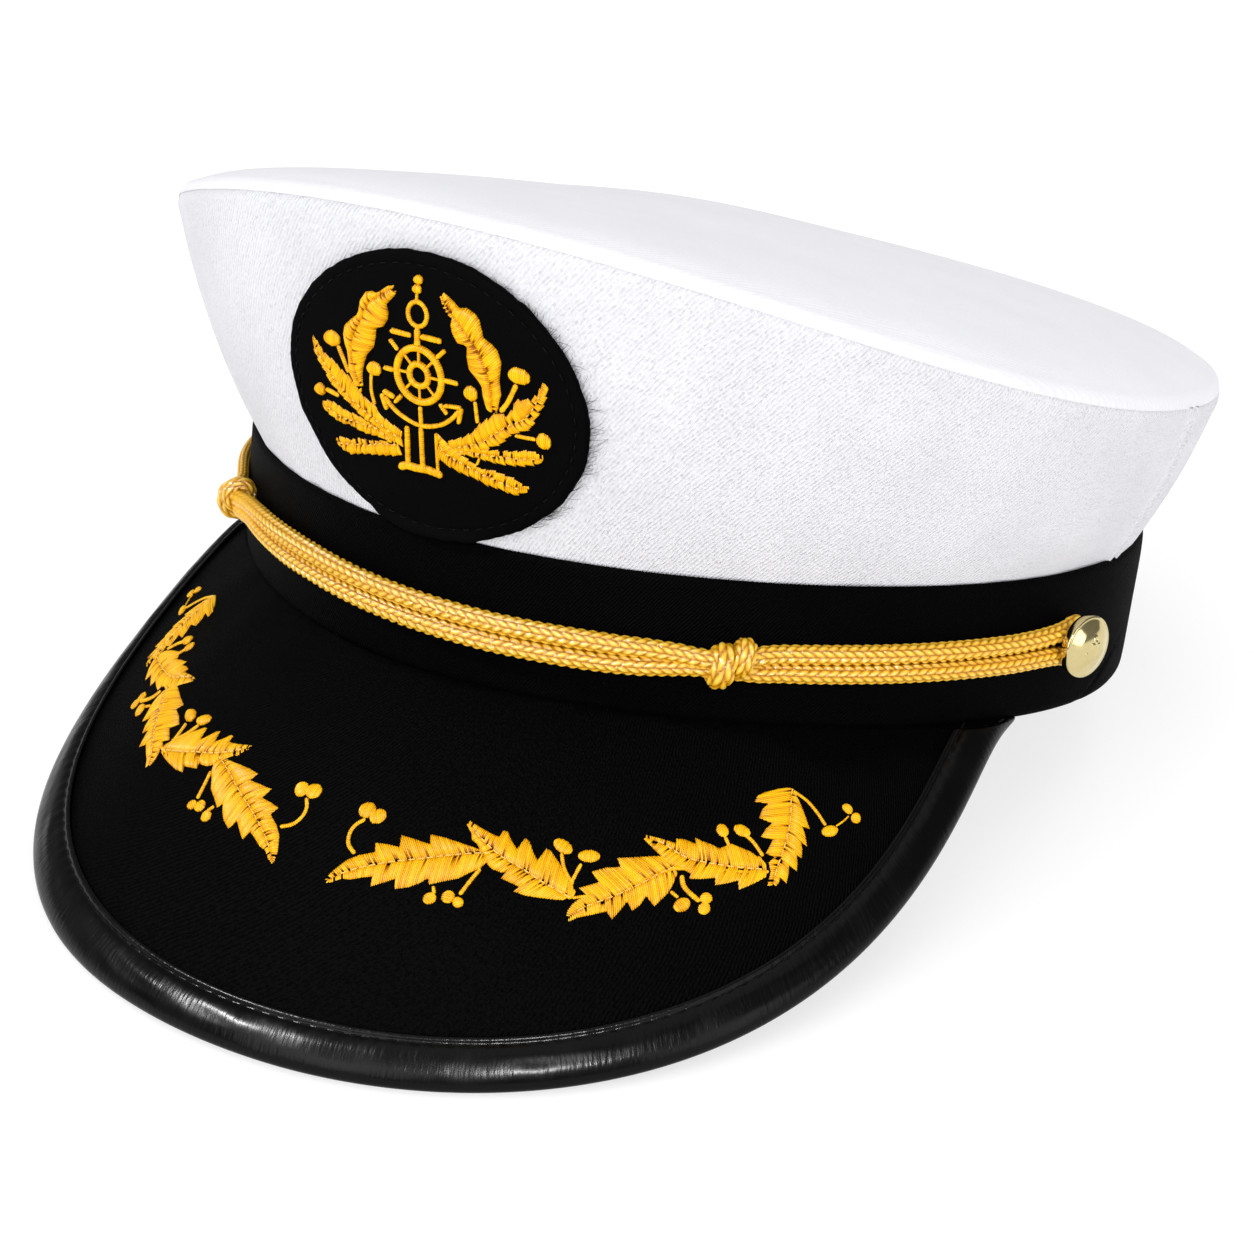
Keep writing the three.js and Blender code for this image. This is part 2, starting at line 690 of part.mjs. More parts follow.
// One half of the wreath: an oak leaf over three sprigs with buds
const wreathLeaves = [
  { base: [0.54, -0.1], tip: [0.18, 0.73], half: 0.15, bow: -0.22 },
  { base: [0.2, -0.37], tip: [1.0, 0.23], half: 0.1, bow: -0.04 },
  { base: [0.2, -0.4], tip: [0.95, -0.31], half: 0.1, bow: 0.02 },
  { base: [0.2, -0.43], tip: [0.83, -0.58], half: 0.085, bow: 0.03 },
];
const wreathBuds = [
  { from: [0.7, 0], to: [0.79, 0.26], radius: 0.055 },
  { from: [0.8, -0.32], to: [0.96, -0.17], radius: 0.05 },
  { from: [0.46, -0.16], to: [0.4, 0.06], radius: 0.045 },
];
const budStemHalf = 0.02;

function wreathGeometry(side) {
  const place = emblemPlace(side);
  const solids = wreathLeaves.map(({ base, tip, half, bow }, i) => {
    const rows = leafRows(scaleEmblem(base), scaleEmblem(tip), half * emblemReach, bow);
    return ribbon(place, rows, emblemWall, i % 2 ? tiers.under : tiers.full);
  });
  wreathBuds.forEach(({ from, to, radius }) => {
    const rows = [from, to].map((pair) => [...scaleEmblem(pair), budStemHalf * emblemReach]);
    solids.push(ribbon(place, rows, emblemWall, tiers.stem));
    solids.push(ribbon(place, berryRows(scaleEmblem(to), radius * emblemReach), emblemWall, tiers.dot));
  });
  const wreath = solids.map(solidOf).reduce((all, one) => all.add(one));
  const tall = anchorSolids(seat, 2 * emblemWall).map(solidOf).reduce((all, one) => all.add(one));
  return geometryOf(wreath.subtract(tall));
}

const hat = new THREE.Group();
function add(name, geometry, finish) {
  geometry.computeVertexNormals();
  const mesh = new THREE.Mesh(geometry, finish);
  mesh.name = name;
  hat.add(mesh);
  return mesh;
}

add('hat_band', bandGeometry(), blackCloth);
add('crown_side_front', crownFrontGeometry(), whiteCloth);
add('crown_side_back', crownBackGeometry(), whiteCloth);
add('crown_top', crownTopGeometry(), whiteCloth);
add('peak', peakGeometry(), blackCloth);
add('peak_binding', bindingGeometry(), glossBinding);
add('chin_cord', cordGeometry(), goldCord);
add('knot_left', knotGeometry(knotTurnLeft), goldCord);
add('knot_right', knotGeometry(knotTurnRight), goldCord);
add('badge_patch', patchGeometry(), blackCloth);
add('badge_anchor', anchorGeometry(), goldThread);
for (const [end, side] of [['left', 1], ['right', -1]]) {
  const turn = side * radians(buttonTurn);
  const button = add(`button_${end}`, buttonGeometry(), paleBrass);
  button.quaternion.setFromUnitVectors(new THREE.Vector3(0, 1, 0), outward(turn));
  button.position.copy(bandPoint(turn, cordHeight(turn))).addScaledVector(outward(turn), seat);
  add(`badge_wreath_${end}`, wreathGeometry(side), goldThread);
  add(`peak_spray_${end}`, sprayGeometry(side), goldThread);
}

// Tips the hat back about the band's rearmost foot until the rim of the peak is as low
function restingTilt(geometry, heel) {
  const points = geometry.attributes.position;
  let tilt = 0;
  for (let i = 0; i < points.count; i += 1) {
    tilt = Math.max(tilt, Math.atan2(heel.z - points.getZ(i), heel.y - points.getY(i)));
  }
  return tilt;
}

const binding = hat.children.find((mesh) => mesh.name === 'peak_binding');
hat.rotation.x = -restingTilt(binding.geometry, bandPoint(Math.PI, 0));

// Stands it on z = 0 with the middle of its box over the origin
hat.updateMatrixWorld(true);
const box = new THREE.Box3().setFromObject(hat, true);
hat.position.set(0, -(box.min.y + box.max.y) / 2, -box.min.z);

const part = new THREE.Group();
part.add(hat);
export default part;
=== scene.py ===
import math
import bmesh
import bpy
import numpy as np
from mathutils import Matrix, Vector


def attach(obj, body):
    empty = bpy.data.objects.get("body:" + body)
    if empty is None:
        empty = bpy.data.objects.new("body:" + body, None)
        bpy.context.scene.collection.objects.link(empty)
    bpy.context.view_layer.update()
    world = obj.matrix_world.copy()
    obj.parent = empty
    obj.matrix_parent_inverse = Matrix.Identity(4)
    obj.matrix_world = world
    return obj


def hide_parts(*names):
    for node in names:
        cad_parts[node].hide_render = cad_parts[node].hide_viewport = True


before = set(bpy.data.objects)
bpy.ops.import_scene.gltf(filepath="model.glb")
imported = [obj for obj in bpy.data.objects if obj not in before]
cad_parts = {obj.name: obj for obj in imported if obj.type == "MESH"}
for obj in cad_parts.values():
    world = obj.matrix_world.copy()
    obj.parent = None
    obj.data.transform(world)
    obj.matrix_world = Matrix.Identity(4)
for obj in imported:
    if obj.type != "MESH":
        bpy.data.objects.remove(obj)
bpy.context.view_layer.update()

scene = bpy.context.scene
tau = 2 * math.pi

# The hat is worked out in millimetres, upright on the foot of its band, front to -Y and the wearer's
# left to +X. toPart tips it back and moves it to where the CAD model stands, in metres.
standing = {"lean": -12.870179, "move": (0.0, 26.3147, 21.8288)}
bandForm = {
    "foot": {"front": 97.6, "back": 98.0, "side": 92.4, "square": -0.044, "slide": 0.028},
    "brow": {"front": 101.1, "back": 95.5, "side": 91.4, "square": -0.025, "slide": -0.02},
    "height": 26.9, "wall": 2.5,
}
crownForm = {
    "seam": {"front": 113.6, "back": 97.6, "side": 101.7, "square": 0.03, "slide": 0.0},
    "front": 56.5, "side": 32.2, "back": 27.1, "wall": 2.0, "rise": 11.0, "shoulder": 3.5, "power": 26,
    "belly": 0.045, "kick": 0.1, "lip": 0.8, "seamFoot": 90.0, "seamTop": 94.0,
}
peakForm = {
    "turn": 72.5, "reach": 120.0, "drop": 55.4, "bulge": 2.5, "tuck": 14.0, "tuckRise": 38.0, "board": 2.0,
    "waves": ((1, 1.208, 0.787, 0.863), (3, 0.236, 0.197, 0.179), (5, 0.028, 0.016, -0.042)),
}
seat = 0.3


def toPart(points):
    # Turns points about X by the lean, moves them, and changes millimetres to metres
    lean = math.radians(standing["lean"])
    x, y, z = points[..., 0], points[..., 1], points[..., 2]
    turned = np.stack([x, y * math.cos(lean) - z * math.sin(lean), y * math.sin(lean) + z * math.cos(lean)], -1)
    return (turned + np.array(standing["move"])) * 0.001


def unit(vectors):
    return vectors / np.maximum(np.linalg.norm(vectors, axis=-1, keepdims=True), 1e-12)


def outward(turn):
    # Level direction from the head's axis at a turn that is counted from the front
    return np.stack([np.sin(turn), -np.cos(turn), 0 * turn], -1)


def vec(x, y, z):
    x, y, z = np.broadcast_arrays(x, y, z)
    return np.stack([x, y, z], -1).astype(float)


def mix(a, b, share):
    # Straight line from a to b by the share
    return a + (b - a) * np.asarray(share)[..., None]


def bell(x, width):
    # One at nought, falling off on both sides as the exponent of minus the square of x over the width
    return np.exp(-(x / width) ** 2)


def runOf(line):
    # The length along a line up to each of its points
    return np.concatenate([[0], np.cumsum(np.linalg.norm(np.diff(line, axis=0), axis=1))])


def placeAt(at, run, line):
    # The places on a line at some lengths along it
    return np.stack([np.interp(at, run, column) for column in line.T], -1)


def aboutFront(turn):
    # The same turn counted from the front, negative on the wearer's right
    return np.where(turn > math.pi, turn - tau, turn)


def softNoise(a, b, length, seed, waves=14):
    # Sum of plane waves of about one wavelength with random directions and phases, within -1 to 1
    draw = np.random.default_rng(seed)
    angle, phase = draw.uniform(0, tau, waves), draw.uniform(0, tau, waves)
    rate = tau / (length * draw.uniform(0.7, 1.5, waves))
    total = sum(np.sin(rate[k] * (a * np.cos(angle[k]) + b * np.sin(angle[k])) + phase[k]) for k in range(waves))
    return total / waves ** 0.5 / 1.6


def ringPoint(ring, turn, height, inset=0.0):
    # An oval: sine and cosine of the turn, squared up a little and with its widest place slid to the front
    across = (1 + ring["square"]) * np.sin(turn) + ring["square"] * np.sin(3 * turn)
    middle, reach = (ring["back"] - ring["front"]) / 2, (ring["back"] + ring["front"]) / 2
    slide = ring["slide"] * ring["side"] * (1 - np.cos(2 * turn)) / 2
    point = vec(ring["side"] * across, middle - reach * np.cos(turn) - slide, height)
    return point - outward(turn + 0 * point[..., 0]) * np.asarray(inset)[..., None]


def bandPoint(turn, height, inset=0.0):
    # Straight line between the foot ring and the brow ring, by the share of the band's height
    low = ringPoint(bandForm["foot"], turn, height, inset)
    return mix(low, ringPoint(bandForm["brow"], turn, height, inset), height / bandForm["height"] + 0 * low[..., 0])


def sideHeight(turn):
    # Mean height, plus the front's rise as one and three waves, plus the sides' dip as two waves
    f = crownForm
    ends, slope = (f["front"] + f["back"]) / 2, (f["front"] - f["back"]) / 2
    wave = (1 - f["kick"]) * np.cos(turn) + f["kick"] * np.cos(3 * turn)
    return (ends + f["side"]) / 2 + slope * wave + (ends - f["side"]) / 2 * np.cos(2 * turn)


def crownPoint(turn, share):
    # Line from the brow to the top seam, pushed out by a parabola of the share
    turn, share = np.broadcast_arrays(np.asarray(turn, float), np.asarray(share, float))
    height, base = sideHeight(turn), bandForm["height"] + seat
    point = mix(ringPoint(bandForm["brow"], turn, base, crownForm["lip"]),
                ringPoint(crownForm["seam"], turn, base + height), share)
    return point + outward(turn) * (crownForm["belly"] * height * 4 * share * (1 - share))[..., None]


def topPoint(turn, reach):
    # The seam's waves fading to the middle, under a dome of 1 - reach squared and a rounded shoulder
    f = crownForm
    turn, reach = np.broadcast_arrays(np.asarray(turn, float), np.asarray(reach, float))
    ends, slope = (f["front"] + f["back"]) / 2, (f["front"] - f["back"]) / 2
    middle = np.array([0.0, (f["seam"]["back"] - f["seam"]["front"]) / 2, 0.0])
    point = middle + (ringPoint(f["seam"], turn, 0.0) - middle) * reach[..., None]
    waves = (1 - f["kick"]) * reach * np.cos(turn) + f["kick"] * reach ** 3 * np.cos(3 * turn)
    saddle = (ends - f["side"]) / 2 * reach ** 2 * np.cos(2 * turn)
    dome = f["rise"] * (1 - reach ** 2) + f["shoulder"] * (1 - reach ** f["power"])
    point[..., 2] = bandForm["height"] + 2 * seat + (ends + f["side"]) / 2 + slope * waves + saddle + dome
    return point


def rimPoint(sweep):
    # The peak's rim: three odd waves of the sweep across, ahead and down
    end = ringPoint(bandForm["foot"], np.array(math.radians(peakForm["turn"])), 0.0)
    x = sum(end[0] * across * np.sin(order * sweep) for order, across, _, _ in peakForm["waves"])
    y = end[1] - sum(peakForm["reach"] * ahead * np.cos(order * sweep) for order, _, ahead, _ in peakForm["waves"])
    z = -sum(peakForm["drop"] * down * np.cos(order * sweep) for order, _, _, down in peakForm["waves"])
    return vec(x, y, z)


def ruling(sweep):
    # The ends of the straight line across the board at a sweep, the way it bulges and its length to the band
    turn = sweep * math.radians(peakForm["turn"]) / (math.pi / 2)
    rim, hem = rimPoint(sweep), ringPoint(bandForm["foot"], turn, 0.0)
    rise = math.radians(peakForm["tuckRise"])
    inner = hem - outward(turn) * peakForm["tuck"] * math.cos(rise)
    inner = inner + np.array([0, 0, peakForm["tuck"] * math.sin(rise)])
    crest = (outward(turn) + np.array([0, 0, 1.0])) * math.sqrt(0.5)
    return rim, inner, crest, np.linalg.norm(rim - hem, axis=-1)


def boardPoint(sweep, distance):
    # A straight ruling from the rim to inside the band, bulged by a parabola of the distance along it
    sweep, distance = np.broadcast_arrays(np.asarray(sweep, float), np.asarray(distance, float))
    rim, inner, crest, _ = ruling(sweep)
    length = np.linalg.norm(inner - rim, axis=-1)
    share = distance / length
    whole = peakForm["reach"] - bandForm["foot"]["front"] + peakForm["drop"]
    bulge = peakForm["bulge"] * length * 4 * share * (1 - share) / whole
    return mix(rim, inner, share) + crest * bulge[..., None]


def normalOf(surface, a, b, guide):
    # Cross product of the two central differences, turned to the guide's side
    step = 1e-3
    across = surface(a + step, b) - surface(a - step, b)
    along = surface(a, b + step) - surface(a, b - step)
    normal = unit(np.cross(across, along))
    return normal * np.where((normal * guide).sum(-1, keepdims=True) < 0, -1.0, 1.0)


def onBoard(sweep, distance, height):
    # The board's place moved up its normal by the height
    sweep, distance = np.broadcast_arrays(np.asarray(sweep, float), np.asarray(distance, float))
    normal = normalOf(boardPoint, sweep, distance, np.array([0, 0, 1.0]))
    return boardPoint(sweep, distance) + normal * np.asarray(height)[..., None]


badgeForm = {"width": 62.8, "height": 52.8, "foot": 0.6, "thick": 1.6, "lift": 0.4}
slant = np.linalg.norm(crownPoint(0.0, 1.0) - crownPoint(0.0, 0.0))


def badgePoint(across, rise):
    # Up the front of the crown by the rise, and round it by the distance across over the local bend
    across, rise = np.broadcast_arrays(np.asarray(across, float), np.asarray(rise, float))
    share = (badgeForm["foot"] + badgeForm["height"] / 2 + rise) / slant
    bend = np.linalg.norm(crownPoint(1e-3, share) - crownPoint(-1e-3, share), axis=-1) / 2e-3
    return crownPoint(across / bend, share)


def onCrown(across, rise, height):
    # The badge's place moved out along the crown's normal by the height
    across, rise = np.broadcast_arrays(np.asarray(across, float), np.asarray(rise, float))
    normal = normalOf(badgePoint, across, rise, np.array([0, -1.0, 0]))
    return badgePoint(across, rise) + normal * np.asarray(height)[..., None]


def onPatch(u, v, height):
    # The same, counted from the face of the patch
    return onCrown(u, v, np.asarray(height) + badgeForm["lift"] + badgeForm["thick"])


midSweeps = np.linspace(0, math.radians(94), 400)
midLine = boardPoint(midSweeps, ruling(midSweeps)[3] / 2)
midLengths = runOf(midLine)


def onPeak(u, v, height):
    # u is the length along the middle of the peak's depth and v the distance from there to the band
    u, v = np.broadcast_arrays(np.asarray(u, float), np.asarray(v, float))
    sweep = np.sign(u) * np.interp(np.abs(u), midLengths, midSweeps)
    return onBoard(sweep, ruling(sweep)[3] / 2 + v, height)


# Meshes: every closed shell is a grid of sections, and a piece is one or more shells


def uvGrid(along, around):
    # One UV value for each grid corner: the first number runs along the rows and the second round them
    return np.stack(np.meshgrid(along, around, indexing="ij"), -1)


def shell(points, closed=False, uv=None, toneAndPaintedLight=None):
    # Quads between neighbouring sections, with a fan of triangles over each end unless the row is closed
    rows, cols = points.shape[:2]
    last = rows if closed else rows - 1
    i, j = np.meshgrid(np.arange(last), np.arange(cols), indexing="ij")
    nextRow, nextCol = (i + 1) % rows, (j + 1) % cols
    quads = np.stack([i * cols + j, i * cols + nextCol, nextRow * cols + nextCol, nextRow * cols + j], -1)
    quads = quads.reshape(-1, 4)
    if uv is None:
        uv = uvGrid(np.arange(rows + 1.0), np.arange(cols + 1.0))
    a, b, c, d = uv[i, j], uv[i, j + 1], uv[i + 1, j + 1], uv[i + 1, j]
    quadUv = np.stack([a, b, c, d], -2).reshape(-1, 4, 2)
    verts = points.reshape(-1, 3)
    tonesAndPaintedLight = (np.zeros((rows, cols)) if toneAndPaintedLight is None else np.broadcast_to(toneAndPaintedLight, (rows, cols))).reshape(-1)
    tris, triUv = np.zeros((0, 3), int), np.zeros((0, 3, 2))
    if not closed:
        k = np.arange(cols)
        ends = []
        for row, flip in ((0, False), (rows - 1, True)):
            ring = row * cols + k
            centre = np.full(cols, len(verts) + len(ends))
            fan = np.stack([centre, np.roll(ring, -1), ring], -1)
            tris = np.concatenate([tris, fan[:, ::-1] if flip else fan])
            ends.append(points[row].mean(0))
            triUv = np.concatenate([triUv, np.repeat(uv[min(row, uv.shape[0] - 1), :cols][:, None], 3, 1)])
        verts = np.concatenate([verts, ends])
        tonesAndPaintedLight = np.concatenate([tonesAndPaintedLight, [tonesAndPaintedLight[0], tonesAndPaintedLight[-1]]])
    allTris = np.concatenate([quads[:, [0, 1, 2]], quads[:, [0, 2, 3]], tris])
    p, q, r = verts[allTris[:, 0]], verts[allTris[:, 1]], verts[allTris[:, 2]]
    if (p * np.cross(q, r)).sum() < 0:
        quads, tris = quads[:, ::-1], tris[:, ::-1]
        quadUv, triUv = quadUv[:, ::-1], triUv[:, ::-1]
    return {"verts": verts, "quads": quads, "tris": tris, "quadUv": quadUv, "triUv": triUv, "tonesAndPaintedLight": tonesAndPaintedLight}


def piece(name, shells, material, replaced=()):
    # One mesh object of the shells, on the hat's body, with its material and the nodes that it takes the place of
    counts = np.cumsum([0] + [len(s["verts"]) for s in shells])
    verts = toPart(np.concatenate([s["verts"] for s in shells]))
    quads = np.concatenate([s["quads"] + n for s, n in zip(shells, counts)])
    tris = np.concatenate([s["tris"] + n for s, n in zip(shells, counts)])
    mesh = bpy.data.meshes.new(name)
    mesh.vertices.add(len(verts))
    mesh.vertices.foreach_set("co", verts.astype(np.float32).ravel())
    corners = np.concatenate([quads.ravel(), tris.ravel()])
    mesh.loops.add(len(corners))
    mesh.loops.foreach_set("vertex_index", corners.astype(np.int32))
    totals = np.concatenate([np.full(len(quads), 4), np.full(len(tris), 3)])
    mesh.polygons.add(len(totals))
    starts = np.concatenate([[0], np.cumsum(totals)[:-1]])
    mesh.polygons.foreach_set("loop_start", starts.astype(np.int32))
    mesh.polygons.foreach_set("loop_total", totals.astype(np.int32))
    mesh.polygons.foreach_set("use_smooth", np.ones(len(totals), bool))
    mesh.update(calc_edges=True)
    uvs = np.concatenate([s["quadUv"].reshape(-1, 2) for s in shells] + [s["triUv"].reshape(-1, 2) for s in shells])
    mesh.uv_layers.new(name="UVMap").data.foreach_set("uv", uvs.astype(np.float32).ravel())
    tonesAndPaintedLight = np.concatenate([s["tonesAndPaintedLight"] for s in shells])
    mesh.attributes.new("toneAndPaintedLight", "FLOAT", "POINT").data.foreach_set("value", tonesAndPaintedLight.astype(np.float32))
    mesh.materials.append(material)
    mesh.validate()
    made = bpy.data.objects.new(name, mesh)
    scene.collection.objects.link(made)
    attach(made, "root")
    if replaced:
        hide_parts(*replaced)
    print(f"{name}: {len(mesh.polygons)} faces")
    return made


# Finishes


def linear(colour):
    # Screen colour from 0 to 255 to linear light
    return tuple(((c / 255 + 0.055) / 1.055) ** 2.4 if c > 10 else c / 255 / 12.92 for c in colour) + (1.0,)


class Wires:
    # Short hand for adding nodes to one tree and joining them
    def __init__(self, tree):
        self.tree = tree

    def add(self, kind, **values):
        node = self.tree.nodes.new(kind)
        for key, value in values.items():
            setattr(node, key, value)
        return node

    def join(self, source, target):
        self.tree.links.new(source, target)

    def math(self, operation, first, second=0.0, third=None):
        node = self.add("ShaderNodeMath", operation=operation)
        for socket, value in zip(node.inputs, (first, second, third)):
            if isinstance(value, bpy.types.NodeSocket):
                self.join(value, socket)
            elif value is not None:
                socket.default_value = value
        return node.outputs[0]

    def blend(self, share, low, high):
        node = self.add("ShaderNodeMix", data_type="RGBA")
        for socket, value in zip((node.inputs[0], node.inputs[6], node.inputs[7]), (share, low, high)):
            if isinstance(value, bpy.types.NodeSocket):
                self.join(value, socket)
            else:
                socket.default_value = value
        return node.outputs[2]

    def noise(self, where, scale, detail=2.0):
        node = self.add("ShaderNodeTexNoise")
        node.inputs["Scale"].default_value = scale
        node.inputs["Detail"].default_value = detail
        self.join(where, node.inputs["Vector"])
        return node.outputs[0]


def newGroup(name, inputs, outputs):
    tree = bpy.data.node_groups.new(name, "ShaderNodeTree")
    for label, kind, value in inputs:
        socket = tree.interface.new_socket(label, in_out="INPUT", socket_type=kind)
        if value is not None:
            socket.default_value = value
    for label in outputs:
        tree.interface.new_socket(label, in_out="OUTPUT", socket_type="NodeSocketFloat")
    wires = Wires(tree)
    return tree, wires, wires.add("NodeGroupInput").outputs, wires.add("NodeGroupOutput").inputs


def makeWeaveGroup():
    # Slanted sine ridges that wander with noise and are broken into dashes by a second noise, in millimetres
    tree, w, given, out = newGroup("clothWeave", [
        ("Where", "NodeSocketVector", None), ("Pitch", "NodeSocketFloat", 0.8),
        ("Lean", "NodeSocketFloat", 0.6), ("Wander", "NodeSocketFloat", 0.3)], ["Height", "Tone"])
    split = w.add("ShaderNodeSeparateXYZ")
    w.join(given["Where"], split.inputs[0])
    push = w.math("MULTIPLY", w.math("SUBTRACT", w.noise(given["Where"], 0.22, 3.0), 0.5), given["Wander"])
    slope = w.math("MULTIPLY_ADD", split.outputs[1], given["Lean"], split.outputs[0])
    ridge = w.math("SINE", w.math("MULTIPLY", w.math("DIVIDE", w.math("ADD", slope, push), given["Pitch"]), tau))
    dashes = w.math("MULTIPLY_ADD", w.noise(given["Where"], 1.5, 1.0), 3.0, -0.9)
    fine = w.math("MULTIPLY", w.math("SUBTRACT", w.noise(given["Where"], 2.2, 3.0), 0.5), 0.9)
    height = w.math("ADD", w.math("MULTIPLY_ADD", w.math("MULTIPLY", ridge, dashes), 0.34, 0.5), fine)
    w.join(height, out["Height"])
    w.join(w.noise(given["Where"], 0.05, 3.0), out["Tone"])
    return tree


def makeFibreGroup():
    # Fine parallel hairs: a sine of the first number, wavering with noise, with a slower change of tone
    tree, w, given, out = newGroup("threadFibre", [
        ("Where", "NodeSocketVector", None), ("Hairs", "NodeSocketFloat", 5.0)], ["Height", "Tone"])
    split = w.add("ShaderNodeSeparateXYZ")
    w.join(given["Where"], split.inputs[0])
    waver = w.math("MULTIPLY", w.noise(given["Where"], 1.3, 1.0), 3.0)
    turn = w.math("MULTIPLY", w.math("MULTIPLY", split.outputs[0], given["Hairs"]), tau)
    hairs = w.math("MULTIPLY_ADD", w.math("SINE", w.math("ADD", turn, waver)), 0.5, 0.5)
    w.join(hairs, out["Height"])
    w.join(w.noise(given["Where"], 0.7, 2.0), out["Tone"])
    return tree


weaveGroup, fibreGroup = makeWeaveGroup(), makeFibreGroup()


def startMaterial(name, rough, shine):
    # A bare material with its shader joined to its output
    made = bpy.data.materials.new(name)
    made.use_nodes = True
    made.node_tree.nodes.clear()
    w = Wires(made.node_tree)
    shader, out = w.add("ShaderNodeBsdfPrincipled"), w.add("ShaderNodeOutputMaterial")
    w.join(shader.outputs[0], out.inputs[0])
    shader.inputs["Roughness"].default_value = rough
    shader.inputs["Specular IOR Level"].default_value = shine
    return made, w, shader


def useGroup(w, tree, **values):
    # Places a node group that reads the piece's own UV map
    node = w.add("ShaderNodeGroup", node_tree=tree)
    w.join(w.add("ShaderNodeUVMap", uv_map="UVMap").outputs[0], node.inputs["Where"])
    for label, value in values.items():
        node.inputs[label].default_value = value
    return node


def bumpFrom(w, shader, height, depth):
    # A bump as deep as depth, in millimetres
    bump = w.add("ShaderNodeBump")
    bump.inputs["Strength"].default_value = 1.0
    bump.inputs["Distance"].default_value = depth * 0.001
    w.join(height, bump.inputs["Height"])
    w.join(bump.outputs[0], shader.inputs["Normal"])


# Colours are on the screen's scale of 0 to 255; pitch, wander and depth are in millimetres
clothLooks = {
    "whiteCloth": {"dark": (200, 200, 207), "light": (247, 247, 250), "pitch": 0.88, "lean": -0.8, "wander": 1.5,
                   "depth": 0.3, "rough": 0.9, "shine": 0.1},
    # The top's cloth is the white cloth again with darker, flatter colours: painted shade on the top, which the front
    # light reaches less than the sides
    "crownTopShadedCloth": {"dark": (222, 222, 227), "light": (240, 240, 244), "pitch": 1.1, "lean": -0.8, "wander": 1.6,
                      "depth": 0.07, "rough": 0.9, "shine": 0.1},
    "blackTwill": {"dark": (0, 0, 0), "light": (6, 6, 7), "pitch": 0.72, "lean": -0.8, "wander": 1.6, "depth": 0.34,
                   "rough": 0.62, "shine": 0.012},
    "patchCloth": {"dark": (1, 1, 1), "light": (6, 6, 8), "pitch": 0.5, "lean": 0.3, "wander": 1.6, "depth": 0.08,
                   "rough": 0.85, "shine": 0.02},
}
threadLooks = {
    # Each thread's first colour is painted shade for its grooves and its last is a painted highlight for its crowns,
    # with the thread's own colour between them
    "goldCord": {"paintedShade": (140, 62, 0), "middle": (250, 184, 24), "paintedHighlight": (255, 230, 100), "hairs": 4.0,
                 "depth": 0.03, "rough": 0.22, "shine": 0.6},
    "goldThread": {"paintedShade": (138, 62, 0), "middle": (250, 178, 0), "paintedHighlight": (255, 214, 26), "hairs": 2.0,
                   "depth": 0.02, "rough": 0.36, "shine": 0.1},
    "paleThread": {"paintedShade": (170, 110, 10), "middle": (250, 208, 90), "paintedHighlight": (255, 232, 150), "hairs": 2.0,
                   "depth": 0.02, "rough": 0.45, "shine": 0.3},
    "blackThread": {"paintedShade": (0, 0, 0), "middle": (4, 4, 5), "paintedHighlight": (14, 14, 16), "hairs": 3.0, "depth": 0.02,
                    "rough": 0.5, "shine": 0.05},
}


def makeCloth(name, look):
    # Woven cloth: the weave's height drives the bump and, with a random tone from noise, the colour, darker where the
    # weave is low as painted shade in its hollows
    made, w, shader = startMaterial(name, look["rough"], look["shine"])
    weave = useGroup(w, weaveGroup, Pitch=look["pitch"], Lean=look["lean"], Wander=look["wander"])
    share = w.math("MULTIPLY_ADD", weave.outputs["Height"], 0.55, w.math("MULTIPLY", weave.outputs["Tone"], 0.45))
    w.join(w.blend(share, linear(look["dark"]), linear(look["light"])), shader.inputs["Base Color"])
    bumpFrom(w, shader, weave.outputs["Height"], look["depth"])
    return made


def makeThread(name, look):
    # Silky thread: the tone attribute goes from painted shade in the grooves, through the thread's own colour, to a
    # painted highlight on the crowns
    paintedShade, middle, paintedHighlight = (linear(look[key]) for key in ("paintedShade", "middle", "paintedHighlight"))
    made, w, shader = startMaterial(name, look["rough"], look["shine"])
    fibre = useGroup(w, fibreGroup, Hairs=look["hairs"])
    toneAndPaintedLight = w.add("ShaderNodeAttribute", attribute_name="toneAndPaintedLight").outputs["Fac"]
    lower = w.math("MULTIPLY", toneAndPaintedLight, 2.0)
    upper = w.math("MULTIPLY_ADD", toneAndPaintedLight, 2.0, -1.0)
    for value in (lower, upper):
        value.node.use_clamp = True
    colour = w.blend(upper, w.blend(lower, paintedShade, middle), paintedHighlight)
    wash = w.math("MULTIPLY_ADD", fibre.outputs["Tone"], 0.35, w.math("MULTIPLY", fibre.outputs["Height"], 0.2))
    w.join(w.blend(w.math("MULTIPLY", wash, 0.6), colour, middle), shader.inputs["Base Color"])
    bumpFrom(w, shader, fibre.outputs["Height"], look["depth"])
    return made


whiteCloth, shadedTopCloth, blackTwill, patchCloth = (makeCloth(name, look) for name, look in clothLooks.items())
goldCord, goldThread, paleThread, blackThread = (makeThread(name, look) for name, look in threadLooks.items())


def makeVinyl():
    # Glossy coated edge binding: fine creases across it in the bump and a roughness that drifts with noise
    made, w, shader = startMaterial("blackVinyl", 0.2, 0.13)
    shader.inputs["Base Color"].default_value = linear((2, 2, 2))
    where = w.add("ShaderNodeUVMap", uv_map="UVMap").outputs[0]
    stretch = w.add("ShaderNodeMapping")
    stretch.inputs["Scale"].default_value = (1.4, 0.35, 1.0)
    w.join(where, stretch.inputs[0])
    w.join(w.math("MULTIPLY_ADD", w.noise(where, 0.12, 2.0), 0.28, 0.14), shader.inputs["Roughness"])
    bumpFrom(w, shader, w.noise(stretch.outputs[0], 0.9, 4.0), 0.1)
    return made


